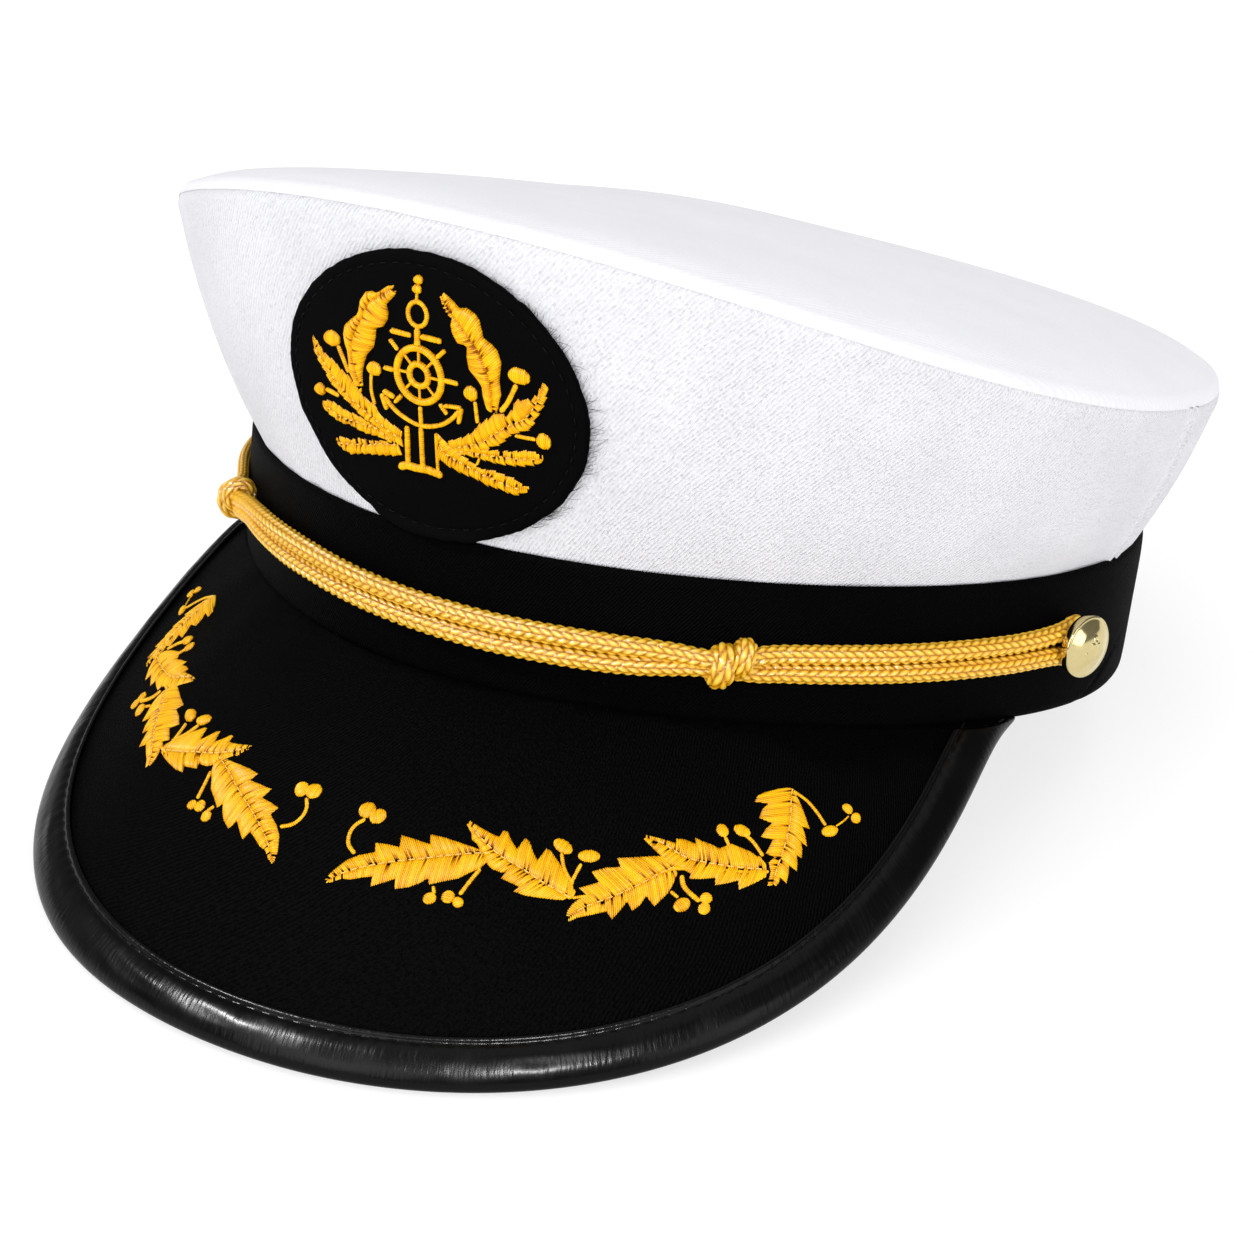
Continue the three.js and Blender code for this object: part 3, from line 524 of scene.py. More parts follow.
def makeBrass():
    # Polished pale brass with faint tarnish in noise patches
    made, w, shader = startMaterial("paleBrass", 0.12, 0.5)
    shader.inputs["Metallic"].default_value = 1.0
    patches = w.noise(w.add("ShaderNodeTexCoord").outputs["Object"], 320.0, 3.0)
    w.join(w.blend(patches, linear((196, 176, 118)), linear((226, 212, 160))), shader.inputs["Base Color"])
    w.join(w.math("MULTIPLY_ADD", patches, 0.14, 0.05), shader.inputs["Roughness"])
    return made


blackVinyl, paleBrass = makeVinyl(), makeBrass()
print("finishes made")

# Crown

# calm is how far from the top seam the cloth lies flat; the side seams have a groove and a puff on each side
crownDetail = {"turns": 900, "rows": 64, "innerRows": 10, "perRadian": 100, "tuck": 1.1,
               "ripple": 0.22, "rippleLength": 34, "calm": 9,
               "footRipple": 0.12, "footLength": 9, "footFade": 5,
               "roll": 0.6, "rollWidth": 0.9, "ridge": 0.12, "ridgeFrom": 2.2, "ridgeWidth": 1.6,
               "seamGroove": 1.5, "grooveWidth": 0.55, "seamPuff": 0.65, "puffFrom": 1.7, "puffWidth": 1.2}
topDetail = {"turns": 720, "swell": 0.45, "swellLength": 62, "calm": 14, "pucker": 0.05, "puckerLength": 11,
             "puckerFade": 7, "ridge": 0.35, "ridgeFrom": 2.4, "ridgeWidth": 1.5, "roll": 0.55, "rollWidth": 0.8}


def crownSkin(turn, share, push):
    # The crown's wall moved along its own normal by push
    return crownPoint(turn, share) + normalOf(crownPoint, turn, share, outward(turn)) * push[..., None]


def makeCrownSide():
    # The foot of the cloth is tucked a little below the top of the band
    d = crownDetail
    turns = np.linspace(0, tau, d["turns"], endpoint=False)
    rise = np.linspace(0, 1, d["rows"])
    shares = 0.5 - 0.5 * np.cos(math.pi * rise) * (0.35 + 0.65 * np.abs(np.cos(math.pi * rise)))
    turn, share = np.meshgrid(turns, shares, indexing="ij")
    height = sideHeight(turn)
    share = share - (1 - share) * d["tuck"] / height
    fromFoot, fromTop = share * height, (1 - share) * height
    girth = aboutFront(turn) * d["perRadian"]
    seamTurn = crownForm["seamFoot"] + (crownForm["seamTop"] - crownForm["seamFoot"]) * share
    seamAt = np.radians(seamTurn) * d["perRadian"]
    off = np.abs(girth) - seamAt
    push = d["ripple"] * softNoise(girth, fromFoot, d["rippleLength"], 3)
    push *= 1 - bell(fromTop, d["calm"])
    push += d["footRipple"] * bell(fromFoot, d["footFade"]) * softNoise(girth, fromFoot * 0.2, d["footLength"], 5)
    push -= d["roll"] * bell(fromTop, d["rollWidth"])
    push += d["ridge"] * bell(fromTop - d["ridgeFrom"], d["ridgeWidth"])
    push -= d["seamGroove"] * bell(off, d["grooveWidth"])
    push += d["seamPuff"] * bell(np.abs(off) - d["puffFrom"], d["puffWidth"])
    outer = crownSkin(turn, share, push)
    innerTurn, innerShare = np.meshgrid(turns, np.linspace(1, -0.02, d["innerRows"]), indexing="ij")
    inner = crownSkin(innerTurn, innerShare, np.full(innerTurn.shape, -crownForm["wall"]))
    points = np.concatenate([outer, inner], 1)
    around = np.concatenate([shares, np.linspace(1, 0, d["innerRows"]) - 3, [0]]) * 45
    uv = uvGrid(np.linspace(0, tau, d["turns"] + 1) * 104, around)
    return piece("crownSide", [shell(points, True, uv)], whiteCloth,
                 ("crown_side_front", "crown_side_back"))


def makeCrownTop():
    # Rings from the middle of the outer skin to the seam, round the edge and back under to the middle
    d = topDetail
    turns = np.linspace(0, tau, d["turns"], endpoint=False)
    reach = np.concatenate([np.linspace(0.01, 0.86, 34), 0.86 + 0.14 * (1 - (1 - np.linspace(0.03, 1, 40)) ** 1.9)])
    turn, r = np.meshgrid(turns, reach, indexing="ij")
    skin = topPoint(turn, r)
    normal = normalOf(topPoint, turn, np.minimum(r, 0.999), np.array([0, 0, 1.0]))
    along = np.concatenate([np.zeros((len(turns), 1)), np.linalg.norm(np.diff(skin, axis=1), axis=-1)], 1).cumsum(1)
    fromSeam = along[:, -1:] - along
    swell = softNoise(skin[..., 0], skin[..., 1], d["swellLength"], 8) * (1 - bell(fromSeam, d["calm"]))
    pucker = softNoise(turn * 104, fromSeam * 0.4, d["puckerLength"], 9) * bell(fromSeam, d["puckerFade"])
    push = d["swell"] * swell + d["pucker"] * pucker
    push += d["ridge"] * bell(fromSeam - d["ridgeFrom"], d["ridgeWidth"]) - d["roll"] * bell(fromSeam, d["rollWidth"])
    skin = skin + normal * push[..., None]
    under = np.array([0.985, 0.95, 0.8, 0.5, 0.2, 0.01])
    innerTurn, innerReach = np.meshgrid(turns, under, indexing="ij")
    inner = topPoint(innerTurn, innerReach) - np.array([0, 0, crownForm["wall"]])
    points = np.concatenate([skin, inner], 1).transpose(1, 0, 2)
    flat = np.concatenate([skin, inner + 300], 1).transpose(1, 0, 2)[..., :2]
    uv = np.concatenate([flat, flat[:, :1]], 1)
    # The top takes the darker copy of the white cloth, painted shade for the top
    return piece("crownTop", [shell(points, False, uv)], shadedTopCloth, ("crown_top",))


makeCrownSide()
makeCrownTop()

# Band

# The crease is a slanting fold at each side, under the button
bandDetail = {"turns": 900, "rows": 34, "perRadian": 98, "belly": 0.25, "fold": 0.5, "foldWidth": 0.55,
              "ripple": 0.13, "rippleLength": 26, "calm": 3,
              "crease": 0.5, "creaseAt": 157, "creaseSpan": 9, "creaseWidth": 0.7, "creaseRise": 6.2,
              "creaseSlope": 0.5, "puff": 0.2, "puffFrom": 1.8, "puffWidth": 1.2}


def makeBand():
    # A tall oval section: the face bellied a little and rounded over at its two folded edges
    d, f = bandDetail, bandForm
    turns = np.linspace(0, tau, d["turns"], endpoint=False)
    share = np.linspace(0, 1, d["rows"])
    share = 0.5 - 0.5 * np.cos(math.pi * share)
    turn, s = np.meshgrid(turns, share, indexing="ij")
    height = s * f["height"]
    edge = np.minimum(height, f["height"] - height)
    inset = d["fold"] * np.exp(-(edge / d["foldWidth"]) ** 1.5) - d["belly"] * 4 * s * (1 - s)
    girth = aboutFront(turn) * d["perRadian"]
    inset -= d["ripple"] * softNoise(girth, height, d["rippleLength"], 14) * (1 - bell(edge, d["calm"]))
    fromCrease = np.abs(girth) - d["creaseAt"]
    aside = height - (d["creaseRise"] + (fromCrease - 2) * d["creaseSlope"])
    fold = d["crease"] * bell(aside, d["creaseWidth"]) - d["puff"] * bell(aside - d["puffFrom"], d["puffWidth"])
    inset += fold * bell(fromCrease, d["creaseSpan"])
    outer = bandPoint(turn, height, inset)
    innerTurn, innerHeight = np.meshgrid(turns, np.linspace(f["height"] - 0.5, 0.5, 8), indexing="ij")
    inner = bandPoint(innerTurn, innerHeight, np.full(innerTurn.shape, f["wall"]))
    around = np.concatenate([share * f["height"], 60 + np.linspace(f["height"], 0, 8), [0]])
    uv = uvGrid(np.linspace(0, tau, d["turns"] + 1) * d["perRadian"], around)
    return piece("hatBand", [shell(np.concatenate([outer, inner], 1), True, uv)], blackTwill,
                 ("hat_band",))


makeBand()

# Peak

# The binding's width, the place of its stitched valley, and the stitches' length, spacing and half thickness
peakDetail = {"sweeps": 700, "rows": 30, "ripple": 0.12, "start": 1.5, "width": 8.0, "valley": 6.55, "stitch": 2.2,
              "pitch": 3.1, "thread": 0.19, "dip": 1.25, "dipSpan": 38, "pull": 0.05, "crumple": 0.06}


def smoothLine(points, count, closed=False):
    # Catmull-Rom curve through the points, spaced evenly along its length; columns past the third ride along
    pts = np.asarray(points, float)
    if closed:
        pts = np.concatenate([pts[-1:], pts, pts[:2]])
    else:
        pts = np.concatenate([2 * pts[:1] - pts[1:2], pts, 2 * pts[-1:] - pts[-2:-1]])
    spans = len(pts) - 3
    t = np.linspace(0, spans, spans * 24 + 1)
    i = np.minimum(t.astype(int), spans - 1)
    f = (t - i)[:, None]
    a, b, c, d = pts[i], pts[i + 1], pts[i + 2], pts[i + 3]
    curve = 0.5 * (2 * b + (c - a) * f + (2 * a - 5 * b + 4 * c - d) * f ** 2 + (3 * b - a - 3 * c + d) * f ** 3)
    length = runOf(curve[:, :3])
    at = np.linspace(0, length[-1], count, endpoint=not closed)
    return placeAt(at, length, curve)


def trimAbove(made, height):
    # Cuts away what lies above a height in the upright frame and closes the cut
    low, high = toPart(np.array([0.0, 0.0, height])), toPart(np.array([0.0, 0.0, height + 1.0]))
    mesh = bmesh.new()
    mesh.from_mesh(made.data)
    every = mesh.verts[:] + mesh.edges[:] + mesh.faces[:]
    bmesh.ops.bisect_plane(mesh, geom=every, dist=1e-7, plane_co=Vector(low), plane_no=Vector(high - low).normalized(),
                           clear_outer=True)
    rim = [edge for edge in mesh.edges if edge.is_boundary]
    filled = bmesh.ops.holes_fill(mesh, edges=rim, sides=0)["faces"]
    bmesh.ops.triangulate(mesh, faces=filled)
    bmesh.ops.recalc_face_normals(mesh, faces=mesh.faces[:])
    mesh.to_mesh(made.data)
    mesh.free()


def makePeak():
    # The board's upper face with a slight ripple, and its flat lower face, as one closed row at each sweep
    d, f = peakDetail, peakForm
    sweeps = np.radians(np.linspace(-94, 94, d["sweeps"]))
    length = np.linalg.norm(ruling(sweeps)[1] - ruling(sweeps)[0], axis=-1)
    share = np.linspace(0, 1, d["rows"])
    top = d["start"] + share[None, :] * (length[:, None] - d["start"])
    low = d["start"] + share[None, ::-1] * (length[:, None] - d["start"])
    sweep = np.broadcast_to(sweeps[:, None], top.shape)
    ripple = d["ripple"] * softNoise(sweep * 90, top, 30, 21)
    points = np.concatenate([onBoard(sweep, top, ripple), onBoard(sweep, low, np.full(low.shape, -f["board"]))], 1)
    around = np.concatenate([share * 60, 80 + share[::-1] * 60, [0]])
    uv = uvGrid(np.degrees(sweeps) * 1.6, around)
    made = piece("peakBoard", [shell(points, False, uv)], blackTwill, ("peak",))
    trimAbove(made, -0.05)


# How far in from the even rim the binding's outer edge runs, by sweep
bindingTrim = {"sweep": (-94, -80, -67, -59, -52, -46, -41, -36, -30, -19, -11, -3, 94),
               "inward": (2.0, 1.3, 1.2, 1.8, 1.6, 0.6, -0.4, -1.2, -1.6, -1.35, -0.55, 0.4, 0)}


def rimTrim(sweep):
    # The table above, averaged over a few degrees so that it has no corners
    steps = np.linspace(-5, 5, 9)
    return sum(np.interp(np.degrees(sweep) + step, bindingTrim["sweep"], bindingTrim["inward"]) for step in steps) / 9


def bindingDip(sweep):
    # At the front of the rim the binding reaches further in
    return peakDetail["dip"] * bell(np.degrees(sweep + 0.05), peakDetail["dipSpan"])


def makeBinding():
    # A closed section swept round the rim: two fine folds, stitched valley, padded flap, round roll, lower flap
    d = peakDetail
    w = d["width"]
    section = smoothLine([(w - 0.1, 0.3), (w, 0.62), (w - 0.22, 0.86), (w - 0.5, 0.74), (w - 0.72, 0.9),
                          (w - 1.0, 0.7), (w - 1.45, 0.42), (w - 1.95, 0.72), (w - 2.8, 1.02), (4.0, 1.18),
                          (2.6, 1.1), (1.0, 0.82), (-0.5, 0.15), (-1.35, -0.8), (-1.3, -1.7), (-0.5, -2.45),
                          (1.4, -2.85), (4.2, -3.05), (6.6, -3.05), (w - 0.2, -2.95), (w, -2.65), (w - 0.3, -2.3),
                          (4.5, -2.3), (0.9, -2.2), (0.3, -1.8), (0.2, -1.0), (0.4, -0.1), (1.2, 0.2), (4.5, 0.2),
                          (w - 0.5, 0.2)], 96, True)
    sweeps = np.radians(np.linspace(-94, 94, 1100))
    line = onBoard(sweeps, d["valley"] + bindingDip(sweeps), 0.6)
    run = runOf(line)
    sweep, distance = np.meshgrid(sweeps, section[:, 0], indexing="ij")
    height = np.broadcast_to(section[:, 1], sweep.shape)
    along = np.broadcast_to(run[:, None], sweep.shape)
    upper = np.clip((height - 0.2) / 0.3, 0, 1)
    beat = np.cos(tau * along / d["pitch"])
    near = bell(distance - d["valley"] + 0.3, 0.9)
    distance = distance + rimTrim(sweep) * np.clip(1 - distance / w, 0, 1) + bindingDip(sweep)
    height = height + upper * d["pull"] * near * (1 - beat)
    height = height + upper * d["crumple"] * softNoise(along, distance * 3, 9, 31) * bell(distance - 4.5, 3)
    points = onBoard(sweep, distance, height)
    uv = uvGrid(run, np.linspace(0, 28, len(section) + 1))
    made = piece("peakBinding", [shell(points, False, uv)], blackVinyl, ("peak_binding",))
    trimAbove(made, -0.05)
    return sweeps, run


def roundThread(middle, out, girth, sides, toneAndPaintedLight):
    # Round sections of half thickness girth, square to the thread's line, with out as their upward side
    turn = np.linspace(0, tau, sides, endpoint=False)
    side = unit(np.cross(np.gradient(middle, axis=0), out))
    ring = out[:, None] * np.cos(turn)[None, :, None] + side[:, None] * np.sin(turn)[None, :, None]
    return shell(middle[:, None] + girth[:, None, None] * ring, toneAndPaintedLight=toneAndPaintedLight)


def makeStitches(sweeps, run):
    # Short round threads along the valley, each dipping into it at both ends
    d = peakDetail
    inside = np.array([sweeps[k] for k in range(len(sweeps)) if rimPoint(sweeps[k])[2] < -2.5])
    first, last = np.interp([inside[0], inside[-1]], sweeps, run)
    shells = []
    t = np.linspace(-1, 1, 9)
    for start in np.arange(first, last, d["pitch"]):
        at = np.interp(start + t * d["stitch"] / 2, run, sweeps)
        valley = d["valley"] + bindingDip(at)
        middle = onBoard(at, valley + 0.04 * np.sin(start), 0.5 - 0.3 * t ** 4)
        out = unit(onBoard(at, valley, 2.0) - onBoard(at, valley, 0.0))
        shells.append(roundThread(middle, out, d["thread"] * np.sqrt(1.02 - t ** 6), 8, 0.6))
    piece("bindingStitches", shells, blackThread)


makePeak()
makeStitches(*makeBinding())

# Cord, knots and buttons

cordForm = {"radius": 2.0, "front": 12.4, "side": 14.1, "button": 79.5, "shank": 0.9,
            "knots": (37.3, -44.9), "knotRise": 1.2}
# How the cord hangs: by turn, how far above its even line it runs and how close together its strands are
cordHang = {"turn": (-80, -60, -48, -35, -20, -10, 0, 10, 25, 33, 40, 55, 70, 76, 80),
            "rise": (0.3, 0.4, 0.6, 0.9, 0.85, 0.3, -0.2, -0.7, -1.1, -0.9, -0.6, -0.45, -0.2, 0.2, 0.4)}
cordPinch = {"turn": (-80, -54, -49, -45, -41, -35, -26, 22, 28, 31, 33.5, 36, 38, 41, 46, 80),
             "close": (1, 1, 0.7, 0.5, 0.62, 0.84, 1, 1, 0.9, 0.72, 0.48, 0.4, 0.62, 0.9, 0.97, 1)}
cordDetail = {"rows": 2080, "lump": 1.95, "base": 1.27, "relief": 0.61, "lean": 0.34, "columns": 8, "beside": 1.88,
              "smooth": 0.75}


def plait(path, out, closed=False, size=1.0, squash=1.0, smooth=None):
    # Eight columns of lumps round a path: the radius falls to the sides of a column and between lumps,
    # and the lumps of every second column start half a lump later and lean the other way
    d = cordDetail
    if closed:
        way = unit(np.roll(path, -1, 0) - np.roll(path, 1, 0))
        steps = np.linalg.norm(np.roll(path, -1, 0) - path, axis=1)
    else:
        way = unit(np.gradient(path, axis=0))
        steps = np.concatenate([np.linalg.norm(np.diff(path, axis=0), axis=1), [0]])
    run = np.concatenate([[0], np.cumsum(steps)[:-1]])
    side = unit(np.cross(way, out))
    out = np.cross(side, way)
    lump = d["lump"] * size
    if closed:
        lump = steps.sum() / round(steps.sum() / lump)
    x = np.array([-0.44, -0.26, 0.0, 0.26, 0.44])
    column = np.repeat(np.arange(d["columns"]), len(x))
    x = np.tile(x, d["columns"])
    angle = (column + 0.5 + x) * tau / d["columns"]
    lean = np.where(column % 2 == 0, 1.0, -1.0)
    phase = run[:, None] / lump + d["lean"] * (x * 2 * lean)[None] + 0.5 * (column % 2)[None]
    swell = np.abs(np.cos(math.pi * phase)) ** 0.5 * np.sqrt(1 - 0.9 * (2 * x[None]) ** 2)
    keep = 1.0 if smooth is None else 1 - smooth[:, None]
    radius = size * (d["base"] + d["relief"] * (0.75 + (swell - 0.75) * keep))
    points = path[:, None] + out[:, None] * (radius * squash * np.cos(angle))[..., None]
    points = points + side[:, None] * (radius * np.sin(angle))[..., None]
    slide = np.concatenate([lean, lean[:1]])
    turnBy = np.concatenate([angle, [tau]])
    rowRun = np.concatenate([run, [run[-1] + steps.mean()]])
    fibre = turnBy[None] * 1.9 * size + slide[None] * rowRun[:, None] * 0.75
    uv = np.stack([fibre, np.broadcast_to(rowRun[:, None], fibre.shape)], -1)
    # The tone is painted light: a painted highlight on the lumps' crowns and painted shade in the hollows between them
    return shell(points, closed, uv, 0.55 + (swell ** 1.9 - 0.55) * keep)


def cordHeight(turn):
    # From the front's height to the side's by the squared sine of the turn, plus how the cord hangs
    hang = np.interp(np.degrees(turn), cordHang["turn"], cordHang["rise"])
    return cordForm["front"] + (cordForm["side"] - cordForm["front"]) * np.sin(turn) ** 2 + hang


def strandPoint(turn, side):
    # Beside the middle height by a strand's radius, less where the cord is pinched, where one strand climbs
    # over the other; round the shank at the ends; and out from the band, more at the knots, less where flat
    f = cordForm
    together, loop = cordDetail["beside"], f["shank"] + seat + f["radius"]
    close = np.interp(np.degrees(turn), cordPinch["turn"], cordPinch["close"])
    spread = together * close + (loop - together) * (turn / math.radians(f["button"])) ** 40
    rise = sum(f["knotRise"] * np.exp(-((turn - math.radians(knot)) / 0.07) ** 4) for knot in f["knots"])
    over = (1 - close) * (0.9 if side > 0 else -0.1)
    return bandPoint(turn, cordHeight(turn) + side * spread, -(seat + 1.9 * cordFlat(turn) + rise + over))


def cordFlat(turn):
    # The strands lie flatter behind the knot on the wearer's right
    return np.interp(np.degrees(turn), (-80, -76, -68, -52, -47, -43), (1, 1, 0.7, 0.64, 0.72, 1))


def bendPoint(end, angle):
    # Half a circle round the button's shank, laid on the band
    f = cordForm
    turn = end * math.radians(f["button"])
    loop = f["shank"] + seat + f["radius"]
    reach = np.linalg.norm(bandPoint(turn, cordHeight(turn)))
    past = turn + end * loop * np.sin(angle) / reach
    height = cordHeight(turn) + end * loop * np.cos(angle)
    return bandPoint(past, height, np.full(np.shape(past), -(seat + f["radius"])))


def makeCord():
    # Along the upper strand, round one shank, back along the lower strand and round the other
    f = cordForm
    turns = np.radians(np.linspace(-f["button"], f["button"], 700))
    bend = np.radians(np.linspace(0, 180, 14))[1:-1]
    loop = np.concatenate([strandPoint(turns, 1), bendPoint(1, bend),
                           strandPoint(turns[::-1], -1), bendPoint(-1, bend)])
    where = np.concatenate([turns, 0 * bend + turns[-1], turns[::-1], 0 * bend + turns[0]])
    path = smoothLine(np.concatenate([loop, where[:, None]], 1)[::3], cordDetail["rows"], True)
    path, where = path[:, :3], path[:, 3]
    length = np.linalg.norm(np.roll(path, -1, 0) - path, axis=1).sum()
    print(f"cord loop {length:.0f} mm")
    smooth = cordDetail["smooth"] * bell(np.degrees(where) + 40, 6)
    away = unit(path * np.array([1, 1, 0]))
    piece("chinCord", [plait(path, away, True, squash=cordFlat(where)[:, None], smooth=smooth)], goldCord,
          ("chin_cord",))


# Each wrap: place along the cord, middle height, half height, how far it leans, its thickness as a share;
# then how far the wraps stand out in front and behind
knotDetail = {"wraps": ((-1.8, -0.35, 2.6, 0.15, 1.26), (1.75, 1.4, 2.35, 0.2, 1.04)), "out": 2.05, "behind": 1.9,
              "squash": 0.74}


def makeKnot(name, index, node):
    # Two wraps of the cord round both strands, the first low and thick and the second high, leaning over
    f, d = cordForm, knotDetail
    turn = math.radians(f["knots"][index])
    middle = (strandPoint(np.array(turn), 1) + strandPoint(np.array(turn), -1)) / 2
    ahead = np.array([math.cos(turn), math.sin(turn), 0.0])
    out, upward = outward(np.array(turn)), np.array([0, 0, 1.0])
    shells = []
    for place, lift, tall, lean, size in d["wraps"]:
        angle = np.linspace(0, tau, 130, endpoint=False)
        along = place + lean * 2 * np.sin(angle)
        away = np.where(np.cos(angle) > 0, d["out"] + 0.3 * size, d["behind"]) * np.cos(angle)
        path = middle + along[:, None] * ahead + away[:, None] * out
        path = path + (lift + tall * np.sin(angle))[:, None] * upward
        facing = unit(np.cos(angle)[:, None] * out * 1.6 + np.sin(angle)[:, None] * upward)
        shells.append(plait(path, facing, True, size, d["squash"]))
    piece(name, shells, goldCord, (node,))


# How far the face turns forward, and the mark's relief, the width of its edges and the height it starts at
buttonDetail = {"forward": 0.13, "relief": 0.13, "soft": 0.12, "from": 6}


def makeButton(name, end, node):
    # Turned profile: shank, flat back, tall edge, shallow step and dome, with a faint raised anchor
    turn = np.array(end * math.radians(cordForm["button"]))
    centre = bandPoint(turn, cordHeight(turn), -seat)
    out = unit(outward(turn) + np.array([0.0, -buttonDetail["forward"], 0.0]))
    profile = smoothLine([(0.01, 0.0), (0.88, 0.0), (0.9, 4.3), (3.0, 4.35), (5.6, 4.35), (5.98, 4.55), (6.05, 5.2),
                          (6.0, 5.9), (5.75, 6.15), (5.45, 6.18), (4.6, 6.62), (3.4, 7.2), (2.0, 7.62), (0.8, 7.8),
                          (0.01, 7.83)], 160)
    turn = np.linspace(0, tau, 144, endpoint=False)
    across = unit(np.cross(np.array([0, 0, 1.0]), out))
    radius, rise = profile[:, 0][:, None], profile[:, 1][:, None]
    x, y = radius * np.cos(turn), radius * np.sin(turn)

    def bar(a, b, halfWide, halfTall):
        past = np.hypot(np.maximum(np.abs(a) - halfWide, 0), np.maximum(np.abs(b) - halfTall, 0))
        return bell(past, buttonDetail["soft"])

    ring = bell(np.hypot(x, y - 2.0) - 0.5, 0.16)
    fluke = bell(np.hypot(x, y + 0.1) - 2.2, 0.2) * (y < -0.5)
    mark = np.maximum.reduce([bar(x, y + 0.2, 0.14, 1.7), bar(x, y - 1.0, 1.1, 0.12), ring, fluke])
    lift = rise + buttonDetail["relief"] * mark * (rise > buttonDetail["from"])
    points = centre + x[..., None] * across + y[..., None] * np.cross(out, across) + lift[..., None] * out
    uv = uvGrid(np.arange(len(profile)) * 0.1, np.linspace(0, 30, 145))
    piece(name, [shell(points, False, uv)], paleBrass, (node,))


makeCord()
makeKnot("knotLeft", 0, "knot_left")
makeKnot("knotRight", 1, "knot_right")
makeButton("buttonLeft", 1, "button_left")
makeButton("buttonRight", -1, "button_right")

# Badge patch

# Half sizes of the oval and where its middle lies, its running stitch, its face and its ragged edge
patchDetail = {"wide": 31.0, "tall": 26.05, "across": 0.4, "down": 1.15, "stitchIn": 2.3, "pitch": 2.6,
               "thread": 0.15, "groove": 0.14, "grooveWidth": 0.35, "ripple": 0.1, "rippleLength": 9,
               "fray": 0.1, "frayLength": 2.4, "wave": 0.12, "waveLength": 9, "hairs": 110, "climb": 0.9,
               "cut": (1.015, 1.055, 1.05, 1.028, 0.998, 1.012, 0.99, 0.955, 1.0, 1.0, 0.985, 0.968, 1.015)}


def patchSpot(pull, turn):
    # A place on the patch from its distance in from the edge and its direction; cut is how far out of true the
    # oval was cut at every twelfth of a turn
    d = patchDetail
    steps = np.linspace(-18, 18, 9)
    cut = sum(np.interp(np.degrees(turn) % 360 + step, np.arange(-1, 14) * 30,
                        (d["cut"][-2],) + d["cut"] + (d["cut"][1],)) for step in steps) / len(steps)
    u = (d["wide"] * cut - pull) * np.cos(turn) + d["across"]
    inner = np.maximum(d["tall"] * cut - pull, (1 - pull / d["wide"]) * d["tall"] * 0.6)
    return u, np.minimum(inner, d["tall"] * cut + 0.5) * np.sin(turn) - d["down"]


def onFelt(u, v, height):
    # The patch rides up over the top edge of the band at its foot
    over = np.clip((patchDetail["down"] + 1.2 - badgeForm["height"] / 2 - v) / 2.5, 0, 1)
    return onPatch(u, v, height + patchDetail["climb"] * over ** 2 * (3 - 2 * over))


def outOfFelt(u, v):
    # The patch's outward direction
    return unit(onFelt(u, v, 1.0 + 0 * u) - onFelt(u, v, 0 * u))


def makePatch():
    # Oval rings from the middle of the top to the rounded edge and back under to the middle
    d = patchDetail
    turn = np.linspace(0, tau, 360, endpoint=False)
    pull = np.concatenate([np.linspace(d["wide"] - 0.3, 3.2, 24), np.linspace(3.0, 1.2, 12),
                           [0.9, 0.6, 0.35, 0.15, 0.04, 0.0, 0.04, 0.25, 0.7, 2.0, 8.0, 20.0, d["wide"] - 0.3]])
    level = np.concatenate([np.zeros(36), [-0.02, -0.08, -0.2, -0.4, -0.65, -0.9, -1.2, -1.5], np.full(5, -1.6)])
    around = turn * 28
    rough = d["fray"] * softNoise(around, 0 * turn, d["frayLength"], 41)
    rough = rough + d["wave"] * softNoise(around, 0 * turn, d["waveLength"], 42)
    k, a = np.meshgrid(np.arange(len(pull)), turn, indexing="ij")
    u, v = patchSpot(pull[k] - np.where(pull[k] < 1.5, rough[None, :], 0), a)
    top = level[k] > -0.3
    height = level[k] + np.where(top, d["ripple"] * softNoise(u, v, d["rippleLength"], 43), 0)
    height = height - np.where(top, d["groove"] * bell(pull[k] - d["stitchIn"], d["grooveWidth"]), 0)
    points = onFelt(u, v, height)
    uv = np.stack([u, v + np.where(top, 0, 90)], -1)
    uv = np.concatenate([uv, uv[:, :1]], 1)
    return piece("badgePatch", [shell(points, False, uv)], patchCloth, ("badge_patch",))


def makePatchStitches():
    # A running stitch just inside the patch's edge
    turn = np.linspace(0, tau, 2000)
    oval = np.stack(patchSpot(np.full(2000, patchDetail["stitchIn"]), turn), -1)
    run = runOf(oval)
    count = round(run[-1] / patchDetail["pitch"])
    t = np.linspace(-1, 1, 7)
    shells = []
    for k in range(count):
        at = (run[-1] * k / count + 0.3 * patchDetail["pitch"] * (1 + t)) % run[-1]
        u, v = np.interp(at, run, oval[:, 0]), np.interp(at, run, oval[:, 1])
        middle = onFelt(u, v, -0.02 - 0.3 * t ** 4)
        shells.append(roundThread(middle, outOfFelt(u, v), patchDetail["thread"] * np.sqrt(1.02 - t ** 6), 8, 0.1))
    piece("badgeStitches", shells, blackThread)


def makePatchHairs():
    # Stray fibres that stick out from the cut edge and lie on the crown: longest at the wearer's left
    draw = np.random.default_rng(77)
    t = np.linspace(0, 1, 6)
    shells = []
    for k in range(patchDetail["hairs"]):
        turn = math.radians(draw.uniform(-52, 62) if k % 4 else draw.uniform(100, 215))
        length = draw.uniform(0.8, 3.0) * (0.6 + 0.4 * math.cos(turn))
        bend = draw.uniform(-0.06, 0.06) + 0.03
        u, v = patchSpot(0.35 - (length + 0.35) * t, turn + bend * t ** 1.5)
        middle = onFelt(u, v, -0.35 - 1.0 * t ** 0.6)
        shells.append(roundThread(middle, outOfFelt(u, v), 0.045 - 0.025 * t, 4, 0.1))
    piece("badgeHairs", shells, blackThread)


makePatchHairs()
makePatch()
makePatchStitches()

# Embroidery: padded leaves and satin strips, worked thread by thread

